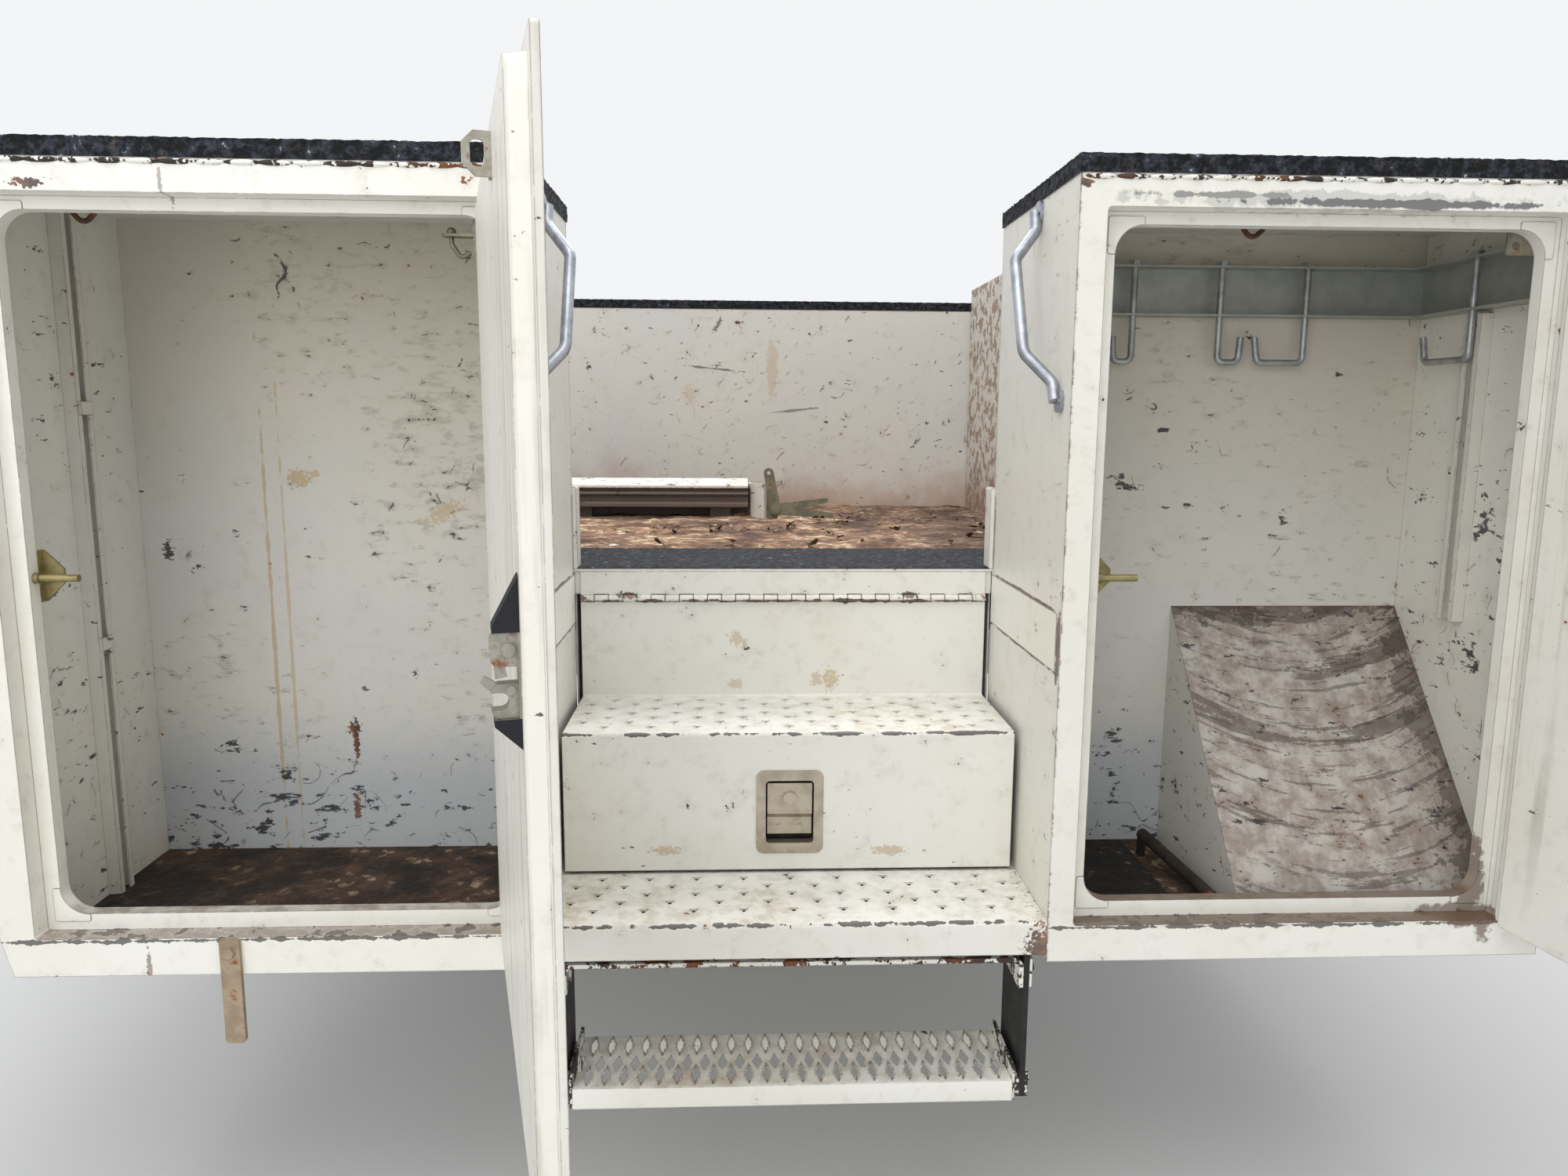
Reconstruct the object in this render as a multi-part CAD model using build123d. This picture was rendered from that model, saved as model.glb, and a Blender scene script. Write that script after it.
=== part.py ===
from build123d import *
from math import cos, radians, sin
import os

# Front bay of a steel utility body: two side cabinets with lift-up steps between them, the deck,
# the cross box behind the cab and the closed pack on the far side.
# All sizes are in millimetres. The pieces are drawn with X running forward from the middle of
# the steps, Y running inwards from the curb side's face and Z running up from the cabinets'
# bottom edge. save() moves them so that the origin is the middle of the frame bolt holes.

# Whole body
BODY_WIDTH = 2438.0
PACK_DEPTH = 457.0
PACK_HEIGHT = 1226.0
PACK_DROP = 386.0
REAR_END = -1250.0
FRONT_END = 1200.0
STAIR_HALF = 399.0
SHEET = 3.0
DECK_TOP = 567.0
DECK_PLATE = 5.0
FAR_WALL = BODY_WIDTH - PACK_DEPTH

# Cabinets
REAR_WALL = -1192.0
CAP_HEIGHT = 28.0
CAP_PLATE = 4.0
CEILING = 1192.0
FLOOR_TOP = 20.0
ARCH_RISE = 224.0

# Door recesses and doors
RECESS_LOW = 60.0
RECESS_HIGH = 1152.0
RECESS_DEPTH = 33.0
LATCH_JAMB = 24.0
HINGE_JAMB = 20.0
MOUTH_LOW = 86.0
MOUTH_HIGH = 1133.0
MOUTH_CORNER = 42.0
LIP_END = 56.0
GUSSET = 54.0
DOOR_GAP = 5.0
DOOR_HEM = 8.0
DOOR_DEPTH = 27.0
PAN_INSET = 8.0
PAN_FOOT = 3.0
PAN_HEAD = 18.0
DOOR_REST = {"rear": 105.0, "front": 99.0}
HINGE_PITCH = 91.0
STRIKER_Z = 609.0
STRIKER_Y = 46.0

# Each door: name, then X of its recess's edges beside the latch and beside the hinge
CURB_DOORS = [("rear", (-1156.0, -420.0)), ("front", (440.0, 1134.0))]
STREET_DOORS = [("street_rear", (-1198.0, -462.0)), ("street_middle", (-372.0, 364.0)),
                ("street_front", (443.0, 1179.0))]
STREET_PARTITIONS = [-417.0, 403.0]

# Steps between the cabinets
LOW_TREAD = 69.0
MIDDLE_TREAD = 319.0
LOWER_RISER = 200.0
UPPER_RISER = 457.0
LID_HALF = 388.0
LID_PIN = (455.0, 511.0)
LID_BARREL = 6.5
LID_PITCH = 26.5
BIN_BACK = 757.0

# Punched holes in the treads: three prongs each, in staggered rows
PUNCH_REACH = 9.0
PUNCH_WAIST = 3.0
PUNCH_PITCH = 80.0
PUNCH_ROW = 30.5

# Frame sills, cross members and bolts
SILL_OUTSIDE = 432.0
SILL_WIDTH = 50.0
SILL_HEIGHT = 100.0
SILL_WALL = 6.0
BOLT_SPACING_X = 1900.0
BOLT_SPACING_Y = 808.0
BOLT_HOLE = 8.5
CROSS_MEMBERS = [-1150.0, -780.0, -430.0, 430.0, 800.0, 1150.0]

# Cross box behind the cab
CROSS_BOX_REAR = 663.0
CROSS_BOX_TOP = 1263.0


def block(x, y, z):
    """Solid block between two corners, each range given as (low, high)."""
    size = [high - low for low, high in (x, y, z)]
    middle = [(high + low) / 2 for low, high in (x, y, z)]
    return Pos(*middle) * Box(*size)


def area(across, up, radius=0.0):
    """Rectangle between two ranges, with rounded corners if a radius is given."""
    width, height = across[1] - across[0], up[1] - up[0]
    outline = RectangleRounded(width, height, radius) if radius else Rectangle(width, height)
    return Pos(sum(across) / 2, sum(up) / 2) * outline


def upright(outline, near, far):
    """Plate facing the curb: outline in X and Z, from one depth to another."""
    plane = Plane(origin=(0, near, 0), x_dir=(1, 0, 0), z_dir=(0, -1, 0))
    return extrude(plane * outline, amount=far - near, dir=(0, 1, 0))


def sideways(outline, low, high):
    """Plate facing along the truck: outline in Y and Z, from one X to another."""
    plane = Plane(origin=(low, 0, 0), x_dir=(0, 1, 0), z_dir=(1, 0, 0))
    return extrude(plane * outline, amount=high - low, dir=(1, 0, 0))


def bent_sheet(corners, x, radius):
    """Folded sheet along X: its middle line's corners in Y and Z, rounded to a bend radius."""
    return sideways(trace(FilletPolyline(*corners, radius=radius), line_width=SHEET), *x)


def other_side(shape):
    """Mirror a piece of the curb side to the street side."""
    return mirror(shape, about=Plane.XZ.offset(-BODY_WIDTH / 2))


def both_ends(shape):
    """A piece and its mirror image across the middle of the steps."""
    return [shape, mirror(shape, about=Plane.YZ)]


def rod(points, radii, radius):
    """Round bar along straight runs joined by arcs."""
    path = FilletPolyline(*points, radius=radii)
    return sweep(Plane(path @ 0, z_dir=path % 0) * Circle(radius), path=path)


def save(name, *pieces):
    """Write one sub-part, moved to the frame's origin."""
    home = Pos(0, -BODY_WIDTH / 2, -PACK_DROP)
    moved = [home * piece for piece in pieces]
    solids = [solid for piece in moved for solid in piece.solids()]
    export_step(Compound(children=solids) if len(solids) > 1 else solids[0], f"parts/{name}.step")


os.makedirs("parts", exist_ok=True)


# Door frames pressed into the packs' faces

def mouth_ranges(recess, grow=0.0):
    """X and Z ranges of a door opening, larger by grow all round."""
    across = (recess[0] + LATCH_JAMB - grow, recess[1] - HINGE_JAMB + grow)
    return across, (MOUTH_LOW - grow, MOUTH_HIGH + grow)


def mouth_area(recess, grow=0.0):
    """Outline of a door opening, larger by grow all round."""
    return area(*mouth_ranges(recess, grow), MOUTH_CORNER + grow)


def recess_area(recess, grow=0.0):
    """Outline of a door recess, larger by grow all round."""
    return area((recess[0] - grow, recess[1] + grow), (RECESS_LOW - grow, RECESS_HIGH + grow), 6 + grow)


def corner_gussets(recess):
    """Welded plates that round the four corners of an opening, on the recess's front."""
    across, up = mouth_ranges(recess, 12.0)
    corners = Sketch()
    for x in (across[0], across[1] - GUSSET):
        for z in (up[0], up[1] - GUSSET):
            corners += area((x, x + GUSSET), (z, z + GUSSET), 4)
    return upright(corners - mouth_area(recess), RECESS_DEPTH - 1, RECESS_DEPTH)


def pressed_face(x, recesses):
    """Face sheet with a stepped recess and a lipped opening for each door."""
    face = upright(area(x, (0, PACK_HEIGHT - CAP_PLATE)), 0, SHEET)
    for recess in recesses:
        ring = recess_area(recess, SHEET)
        face -= upright(recess_area(recess), 0, SHEET)
        face += upright(ring - recess_area(recess), 0, RECESS_DEPTH)
        face += upright(ring - mouth_area(recess), RECESS_DEPTH, RECESS_DEPTH + SHEET)
        face += upright(mouth_area(recess, SHEET) - mouth_area(recess), RECESS_DEPTH, LIP_END)
        face += corner_gussets(recess)
    return face


arch = Polygon((REAR_WALL, 0), (REAR_END, ARCH_RISE), (REAR_END, 0), align=None)
rear_face = pressed_face((REAR_END, -STAIR_HALF), [CURB_DOORS[0][1]]) - upright(arch, 0, SHEET)
front_face = pressed_face((STAIR_HALF, FRONT_END), [CURB_DOORS[1][1]])
street_face = other_side(pressed_face((REAR_END, FRONT_END), [recess for _, recess in STREET_DOORS]))
save("rear_cabinet_face", rear_face)
save("front_cabinet_face", front_face)
save("street_face", street_face)

# Walls, floors, ceilings and caps of the packs
wall_up = (0, PACK_HEIGHT - CAP_PLATE)
end_walls = [(REAR_WALL, REAR_WALL + SHEET), (-STAIR_HALF - SHEET, -STAIR_HALF),
             (STAIR_HALF, STAIR_HALF + SHEET), (FRONT_END - SHEET, FRONT_END)]
save("cabinet_end_walls", *[block(x, (SHEET, PACK_DEPTH - SHEET), wall_up) for x in end_walls])

inner_x = [(REAR_END, -STAIR_HALF), (STAIR_HALF, FRONT_END)]
back = (PACK_DEPTH - SHEET, PACK_DEPTH)
save("cabinet_backs", *[block(x, back, wall_up) for x in inner_x])
save("street_inner_wall", block((REAR_END, FRONT_END), (FAR_WALL, FAR_WALL + SHEET), wall_up))

street_depth = (FAR_WALL + SHEET, BODY_WIDTH - SHEET)
street_walls = [REAR_END, *STREET_PARTITIONS, FRONT_END - SHEET]
save("street_partitions", *[block((x, x + SHEET), street_depth, wall_up) for x in street_walls])

cabinet_insides = [(REAR_WALL + SHEET, -STAIR_HALF - SHEET), (STAIR_HALF + SHEET, FRONT_END - SHEET)]
street_insides = [(low + SHEET, high) for low, high in zip(street_walls, street_walls[1:])]


def level_sheets(z):
    """One sheet in each compartment of both packs, at the height range given."""
    curb = [block(x, (SHEET, PACK_DEPTH - SHEET), z) for x in cabinet_insides]
    street = [block(x, street_depth, z) for x in street_insides]
    return curb + street


save("compartment_floors", *level_sheets((FLOOR_TOP - SHEET, FLOOR_TOP)))
save("compartment_ceilings", *level_sheets((CEILING, CEILING + SHEET)))


def coated_cap(x, closed_rear):
    """Shallow lid over a pack with a lip that hangs over its walls."""
    z = (PACK_HEIGHT - CAP_HEIGHT, PACK_HEIGHT)
    rear = x[0] - CAP_PLATE if closed_rear else x[0]
    outside = block((rear, x[1] + CAP_PLATE), (-CAP_PLATE, PACK_DEPTH + CAP_PLATE), z)
    return outside - block(x, (0, PACK_DEPTH), (z[0], z[1] - CAP_PLATE))


save("rear_cabinet_cap", coated_cap(inner_x[0], False))
save("front_cabinet_cap", coated_cap(inner_x[1], True))
save("street_cap", other_side(coated_cap((REAR_END, FRONT_END), False)))

# Patches welded over the body's side rails where they pass the steps, and the deck's corner strips
PATCH_Y, PATCH_Z = (22.0, 450.0), (466.0, 557.0)
patch = block((STAIR_HALF - 1.5, STAIR_HALF), PATCH_Y, PATCH_Z)
corner_strip = upright(area((STAIR_HALF - 7, STAIR_HALF + 6), (DECK_TOP, 722), 4), PACK_DEPTH, PACK_DEPTH + 42)
save("stair_patches", *both_ends(patch), *both_ends(corner_strip))

# Deck, sills and cross members
deck_y = (PACK_DEPTH, FAR_WALL)
deck = block((REAR_END, FRONT_END), deck_y, (DECK_TOP - DECK_PLATE, DECK_TOP))
flange_y = (UPPER_RISER + SHEET, UPPER_RISER + SHEET + DECK_PLATE)
flange_z = (LID_PIN[1] + LID_BARREL + 1, DECK_TOP - DECK_PLATE)
deck += block((-STAIR_HALF, STAIR_HALF), flange_y, flange_z)
save("deck", deck)


def channel(length, width, height, wall):
    """Channel along +X with its web at Y = width and its flanges towards Y = 0."""
    outline = area((0, width), (0, height)) - area((0, width - wall), (wall, height - wall))
    return sideways(outline, 0, length)


middle = BODY_WIDTH / 2
sill = Pos(REAR_END, SILL_OUTSIDE - SILL_WIDTH, PACK_DROP) * channel(
    FRONT_END - REAR_END, SILL_WIDTH, SILL_HEIGHT, SILL_WALL)
for x in (-BOLT_SPACING_X / 2, BOLT_SPACING_X / 2):
    sill -= Pos(x, BOLT_SPACING_Y / 2, PACK_DROP + SILL_WALL / 2) * Cylinder(BOLT_HOLE, 2 * SILL_WALL)
sills = [Pos(0, middle, 0) * part for part in (sill, mirror(sill, about=Plane.XZ))]
save("frame_sills", *sills)

MEMBER_WIDTH, MEMBER_WALL = 38.0, 5.0
member_z = (PACK_DROP + SILL_HEIGHT, DECK_TOP - DECK_PLATE)
member_height = member_z[1] - member_z[0]
member = Rot(0, 0, 90) * channel(FAR_WALL - PACK_DEPTH, MEMBER_WIDTH, member_height, MEMBER_WALL)
members = [Pos(x + MEMBER_WIDTH / 2, PACK_DEPTH, member_z[0]) * member for x in CROSS_MEMBERS]
short_member = Rot(0, 0, 90) * channel(FAR_WALL - BIN_BACK - SHEET, MEMBER_WIDTH, member_height, MEMBER_WALL)
members.append(Pos(MEMBER_WIDTH / 2, BIN_BACK + SHEET, member_z[0]) * short_member)
save("cross_members", *members)

# Cross box behind the cab
box_x, box_z = (CROSS_BOX_REAR, FRONT_END), (DECK_TOP, CROSS_BOX_TOP)
box_y = (PACK_DEPTH + CAP_PLATE + 1, FAR_WALL - CAP_PLATE - 1)
inside_box = [(low + SHEET, high - SHEET) for low, high in (box_x, box_y)]
save("cross_box", block(box_x, box_y, box_z) - block(*inside_box, (box_z[0], box_z[1] - SHEET)))

# Low folded rail on the far part of the deck: grooved front, sloped top, slanted plate at its end
RAIL_X = (-620.0, -60.0)
RAIL_FACE = 1520.0
rail_line = [(44, 601), (1.5, 601), (1.5, 612), (18, 616), (18, 632), (1.5, 636), (1.5, 641), (14, 644),
             (14, 652), (1.5, 655), (1.5, 662), (100, 677), (100, DECK_TOP)]
deck_rail = bent_sheet([(RAIL_FACE + y, z) for y, z in rail_line], RAIL_X, 2)
end_corners = [(RAIL_X[1] - 2, 1600), (RAIL_X[1] - 2, 1560), (-14, 1506), (-8, 1511), (-50, 1562), (-50, 1600)]
deck_rail += extrude(Plane.XY.offset(DECK_TOP) * Polygon(*end_corners, align=None), amount=100)
for x in (RAIL_X[0] + 50, RAIL_X[1] - 110):
    deck_rail += block((x, x + 60), (RAIL_FACE + 36, RAIL_FACE + 44), (DECK_TOP, 601))
save("deck_rail", deck_rail)

# Lever latch at the rail's end: an upright link and two arms on one bolt
LATCH_PIVOT = (16.0, 598.0)
LATCH_FACE = 1488.0


def latch_arm(tip, root_radius, tip_radius, layer):
    """Tapered arm of 6 mm plate from the bolt to a tip, in one of three layers."""
    ends = [Pos(*LATCH_PIVOT) * Circle(root_radius), Pos(*tip) * Circle(tip_radius)]
    outline = make_hull([edge for end in ends for edge in end.edges()])
    return upright(outline, LATCH_FACE + 6 * layer, LATCH_FACE + 6 * layer + 6)


rail_latch = latch_arm((-2, 700), 17, 14, 0) + latch_arm((176, 579), 16, 8, 1)
rail_latch += latch_arm((162, 622), 14, 7, 2)
rail_latch += upright(Pos(*LATCH_PIVOT) * Circle(15), LATCH_FACE - 5, LATCH_FACE + 18)
rail_latch -= upright(Pos(-2, 700) * Circle(5), LATCH_FACE, LATCH_FACE + 6)
rail_latch += block((-7, 24), (LATCH_FACE + 18, LATCH_FACE + 24), (DECK_TOP, 640))
save("rail_latch", rail_latch)


# Hinges with knuckles that take turns

def piano_hinge(length, pitch, barrel, pin, fixed_web, moving_web):
    """Both halves of a hinge along +Z with its pin at the origin.

    A web is the (X, Y) ranges of the strip that ties each knuckle to its leaf.
    """
    gap, running = 0.5, 0.3
    fixed, moving = [Pos(0, 0, length / 2) * Cylinder(pin, length)], []
    count = 2 * int(length / pitch / 2) + 1
    step = length / count
    for index in range(count):
        z = (index * step + gap, (index + 1) * step - gap)
        knuckle = Pos(0, 0, sum(z) / 2) * Cylinder(barrel, z[1] - z[0])
        if index % 2:
            bore = Pos(0, 0, sum(z) / 2) * Cylinder(pin + running, z[1] - z[0])
            moving.append(knuckle + block(*moving_web, z) - bore)
        else:
            fixed.append(knuckle + block(*fixed_web, z))
    return fixed, moving


# Doors, drawn closed in their recesses

DOOR_PIN = (-2.5, -5.0)
leaf_z = (RECESS_LOW + DOOR_GAP, RECESS_HIGH - DOOR_GAP)


def door_leaf(recess):
    """Closed door in its recess: a hemmed skin with a bevelled pan behind it."""
    skin = upright(area((recess[0] + DOOR_GAP, recess[1] - DOOR_GAP), leaf_z, 4), 0, DOOR_HEM)
    bevel_end = DOOR_DEPTH - 3
    across, _ = mouth_ranges(recess, -PAN_INSET)
    up = (leaf_z[0] + PAN_FOOT, leaf_z[1] - PAN_HEAD)
    foot = area((across[0] - 8, across[1] + 8), (up[0] - 2, up[1] + 2), 9)
    bevel = loft([Plane(origin=(0, y, 0), x_dir=(1, 0, 0), z_dir=(0, -1, 0)) * outline
                  for y, outline in ((DOOR_HEM, foot), (bevel_end, area(across, up, 8)))])
    return skin + bevel + upright(area(across, up, 8), bevel_end, DOOR_DEPTH)


def swing(shape, recess, angle):
    """Turn a closed door's piece about its hinge pin."""
    pin = Axis((recess[1] + DOOR_PIN[0], DOOR_PIN[1], 0), (0, 0, 1))
    return shape.rotate(pin, angle)


hinge_z = (leaf_z[0] + 8, leaf_z[1] - 8)
hinge_length = hinge_z[1] - hinge_z[0]
hinge_fixed, hinge_moving = piano_hinge(
    hinge_length, HINGE_PITCH, 4.0, 1.6, ((1, 2.5), (0, 4.7)), ((-2.5, -1), (0, 4.7)))
hinge_fixed = block((1, 2.5), (4.7, 25), (0, hinge_length)) + hinge_fixed
hinge_moving = block((-2.5, -1), (4.7, 13), (0, hinge_length)) + hinge_moving


def hinge_place(recess):
    """Where a door's hinge starts, at the lower end of its pin."""
    return Pos(recess[1] + DOOR_PIN[0], DOOR_PIN[1], hinge_z[0])


def door_handle(recess):
    """Flush paddle handle near the free edge of a door's outer skin."""
    x = (recess[0] + 45, recess[0] + 45 + 116)
    z = (560, 709)
    plate = upright(area(x, z, 14), -2.5, 0)
    plate -= upright(area((x[0] + 12, x[1] - 12), (z[0] + 40, z[1] - 12), 8), -2.5, 0)
    paddle = upright(area((x[0] + 14, x[1] - 14), (z[0] + 42, z[1] - 14), 6), -1.5, 0)
    lock = Pos(sum(x) / 2, -2.5, z[0] + 66) * Rot(90, 0, 0) * Cylinder(9, 5)
    return plate + paddle + lock


HOUSING_HALF = 15.0
HOUSING_OUT = DOOR_DEPTH + 25.0
UPPER_HOUSING_Z = STRIKER_Z + 45.0
GUARD_X = 22.0


def latch_housing(left, z):
    """Rounded housing of one rotary latch on a door's pan."""
    corners = area((DOOR_DEPTH - 12, HOUSING_OUT), (z - HOUSING_HALF, z + HOUSING_HALF), 8)
    return sideways(corners & area((DOOR_DEPTH, HOUSING_OUT), (z - 40, z + 40)), left + 4, left + 20)


def upper_latch(left):
    """Housing without a slot, with its pivot and the end of its catch below it."""
    z = UPPER_HOUSING_Z
    catch = Polygon((40, z - 14), (49, z - 14), (48, z - 26), (38, z - 24), align=None)
    pivot = Pos(left + 3, DOOR_DEPTH + 10, z) * Rot(0, 90, 0) * Cylinder(6, 4)
    return latch_housing(left, z) + pivot + sideways(catch, left + 7, left + 15)


def lower_latch(left):
    """Housing with the slot that takes the striker pin, and the catch that stands out above it."""
    z = STRIKER_Z
    slot = area((STRIKER_Y - 9, HOUSING_OUT + 9), (z - 7.5, z + 7.5), 7)
    housing = latch_housing(left, z) - sideways(slot & area((0, HOUSING_OUT), (z - 9, z + 9)), left, left + 20)
    catch = Polygon((42, z + 9), (48, z + 16), (57, z + 22), (60, z + 16), (52, z + 8), align=None)
    pivot = Pos(left + 3, DOOR_DEPTH + 8.5, z + 10) * Rot(0, 90, 0) * Cylinder(4, 4)
    return housing + pivot + sideways(catch, left + 7, left + 13)


def latch_guard(left, start, reach):
    """Folded guard beyond a latch, upwards or downwards: two tapered sides and the slope that joins them."""
    way = 1 if reach > 0 else -1

    def side(inset):
        out = HOUSING_OUT - 2 - inset
        tip = start + reach - way * 2 * inset
        return Polygon((DOOR_DEPTH, start), (out, start), (out, start + way * 6), (DOOR_DEPTH, tip), align=None)

    guard = sideways(side(0), left, left + GUARD_X)
    return guard - sideways(side(3), left + 2.5, left + GUARD_X - 2.5)


def stay_loop(recess):
    """Six-sided loop on the door's pan that takes the stay chain."""
    y, z = DOOR_DEPTH, 1096.0
    outside = Polygon((y, z - 21), (y + 16, z - 21), (y + 28, z - 9), (y + 28, z + 10), (y + 17, z + 21),
                      (y, z + 21), align=None)
    inside = area((y + 7, y + 20), (z - 12, z + 13), 5)
    x = recess[1] - 505
    return sideways(outside - inside, x, x + 3) + block((x, x + 16), (y, y + 3), (z - 21, z + 21))


def door_hardware(recess):
    """Handle, two rotary latches on their base with a guard at each end, and the stay loop."""
    left = recess[0] + LATCH_JAMB + 12
    ends = (STRIKER_Z - HOUSING_HALF, UPPER_HOUSING_Z + HOUSING_HALF)
    base = block((left, left + GUARD_X), (DOOR_DEPTH, DOOR_DEPTH + 2), ends)
    latches = base + lower_latch(left) + upper_latch(left)
    latches += latch_guard(left, ends[1], 49) + latch_guard(left, ends[0], -28)
    return [door_handle(recess), stay_loop(recess), latches]


fixed_hinges = []
for name, recess in CURB_DOORS:
    angle = DOOR_REST[name]
    fixed_hinges.append(hinge_place(recess) * hinge_fixed)
    leaf = door_leaf(recess) + hinge_place(recess) * hinge_moving
    save(f"{name}_door", swing(leaf, recess, angle))
    save(f"{name}_door_latches", *[swing(piece, recess, angle) for piece in door_hardware(recess)])

for name, recess in STREET_DOORS:
    fixed_hinges.append(other_side(hinge_place(recess) * hinge_fixed))
    save(f"{name}_door", other_side(door_leaf(recess) + hinge_place(recess) * hinge_moving))
    save(f"{name}_door_latches", *[other_side(piece) for piece in door_hardware(recess)])
save("door_hinges", *fixed_hinges)


# Steps: the bottom tread with its skirt, the bin under the deck and the lid over it

def punched_holes(first_row, rows, z):
    """Three-pronged holes through a tread, in rows that go inwards from the first one."""
    prongs = [(reach, radians(60 * index - 90)) for index, reach in enumerate([PUNCH_REACH, PUNCH_WAIST] * 3)]
    punch = Polygon(*[(reach * cos(turn), reach * sin(turn)) for reach, turn in prongs], align=None)
    places = []
    for row in range(rows):
        count = 9 if row % 2 == 0 else 10
        for index in range(count):
            places.append(Pos(PUNCH_PITCH * (index - (count - 1) / 2), first_row + row * PUNCH_ROW))
    pattern = Sketch() + [place * punch for place in places]
    return extrude(Plane.XY.offset(z - 2 * SHEET) * pattern, amount=3 * SHEET)


half = SHEET / 2
tread_x = (-STAIR_HALF, STAIR_HALF)
bottom_tread = bent_sheet([(half, 12), (half, LOW_TREAD - half), (LOWER_RISER, LOW_TREAD - half)], tread_x, 7)
bottom_tread -= punched_holes(50, 5, LOW_TREAD)
save("bottom_tread", bottom_tread)

bin_top = DECK_TOP - DECK_PLATE
bin_low = (LOW_TREAD - SHEET, LOW_TREAD)
bin_shell = block(tread_x, (LOWER_RISER, BIN_BACK), bin_low)
bin_shell += block(tread_x, (BIN_BACK, BIN_BACK + SHEET), (bin_low[0], bin_top))
for x in ((-STAIR_HALF, -STAIR_HALF + SHEET), (STAIR_HALF - SHEET, STAIR_HALF)):
    bin_shell += block(x, (flange_y[1], BIN_BACK), (LOW_TREAD, bin_top))
save("step_bin", bin_shell)

PLATE_X, PLATE_Z = (-58.0, 58.0), (104.0, 253.0)
cup_x = (PLATE_X[0] + 15, PLATE_X[1] - 15)
cup_z = (PLATE_Z[0] + 17, PLATE_Z[1] - 17)
lid_x = (-LID_HALF, LID_HALF)
lid_top = LID_PIN[1] - LID_BARREL - 1
lid_low = LOW_TREAD + DOOR_GAP
lid_line = [(LOWER_RISER + half, lid_low), (LOWER_RISER + half, MIDDLE_TREAD - half),
            (UPPER_RISER + half, MIDDLE_TREAD - half), (UPPER_RISER + half, lid_top)]
lid = bent_sheet(lid_line, lid_x, 5)
# Returns at both ends stiffen the lid's lower box
RETURN = 22.0
return_outline = area((LOWER_RISER + half, UPPER_RISER + half), (lid_low, MIDDLE_TREAD - half)) \
    - area((LOWER_RISER + RETURN, UPPER_RISER + SHEET), (0, MIDDLE_TREAD - RETURN))
lid_return = sideways(return_outline, LID_HALF - SHEET, LID_HALF)
for piece in both_ends(lid_return):
    lid += piece
lid -= upright(area(cup_x, cup_z, 8), LOWER_RISER, LOWER_RISER + SHEET)
lid -= punched_holes(236, 7, MIDDLE_TREAD)

# The lid's hinge lies along X, with its leaves in the plane of the riser
riser_y = (UPPER_RISER, UPPER_RISER + SHEET)
lid_web = (riser_y[0] - LID_PIN[0], riser_y[1] - LID_PIN[0])
web_reach = LID_BARREL + 1
lid_place = Plane(origin=(-LID_HALF, *LID_PIN), x_dir=(0, 1, 0), z_dir=(1, 0, 0))
lid_fixed, lid_moving = piano_hinge(
    2 * LID_HALF, LID_PITCH, LID_BARREL, 2.5, (lid_web, (0, web_reach)), (lid_web, (-web_reach, 0)))
lid_leaf = block(lid_x, riser_y, flange_z)
save("lid_hinge", lid_leaf + [lid_place * part for part in lid_fixed])
save("step_lid", lid + [lid_place * part for part in lid_moving])

# Flush paddle latch in the lid's lower riser
CUP_WALL, CUP_DEEP = 1.5, 26.0
riser = LOWER_RISER
latch = upright(area(PLATE_X, PLATE_Z, 14) - area(cup_x, cup_z, 8), riser - 2, riser)
cup_in = (cup_x[0] + CUP_WALL, cup_x[1] - CUP_WALL)
cup_up = (cup_z[0] + CUP_WALL, cup_z[1] - CUP_WALL)
cup = upright(area(cup_x, cup_z, 8) - area(cup_in, cup_up, 7), riser - 2, riser + CUP_DEEP)
cup += upright(area(cup_x, cup_z, 8), riser + CUP_DEEP, riser + CUP_DEEP + CUP_WALL)
# The paddle is bent: its upper part with the lock stands forward of its lower part
paddle_x = (cup_in[0] + 3, cup_in[1] - 3)
bend = cup_up[0] + 52
paddle_line = [(1, cup_up[1] - 5), (1, bend), (12, bend - 10), (12, cup_up[0] + 12)]
front_edge = [(riser + y, z) for y, z in paddle_line]
back_edge = [(y + 2, z) for y, z in reversed(front_edge)]
paddle = sideways(Polygon(*front_edge, *back_edge, align=None), *paddle_x)
stem = block((-10, 10), (riser + 12, riser + CUP_DEEP), (cup_up[0] + 18, cup_up[0] + 34))
lock = Pos(0, riser - 1, cup_up[1] - 32) * Rot(90, 0, 0) * Cylinder(12, 8)
for x in (-18, 18):
    stem += Pos(x, riser + 11, cup_up[0] + 26) * Rot(90, 0, 0) * Cylinder(4, 4)
save("paddle_latch", latch + cup + paddle + stem + lock)

# Grab handles on the walls beside the steps: points of the right one's middle line
HANDLE_RADIUS = 9.0
WALL_LINE = STAIR_HALF - HANDLE_RADIUS - 1
BOW_LINE = 349.0
handle_points = [(WALL_LINE, 206, 1180), (WALL_LINE, 196, 1150), (BOW_LINE, 164, 1100), (BOW_LINE, 92, 952),
                 (WALL_LINE, 66, 906), (WALL_LINE, 52, 878)]
handle = rod(handle_points, [25, 30, 30, 25], HANDLE_RADIUS)
for _, y, z in (handle_points[0], handle_points[-1]):
    handle += sideways(Pos(y, z) * RectangleRounded(32, 34, 12), STAIR_HALF - 6, STAIR_HALF)
    handle += [Pos(STAIR_HALF - 7, y + shift, z) * Rot(0, 90, 0) * Cylinder(3.5, 3) for shift in (-12, 12)]
save("grab_handles", *both_ends(handle))

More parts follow.
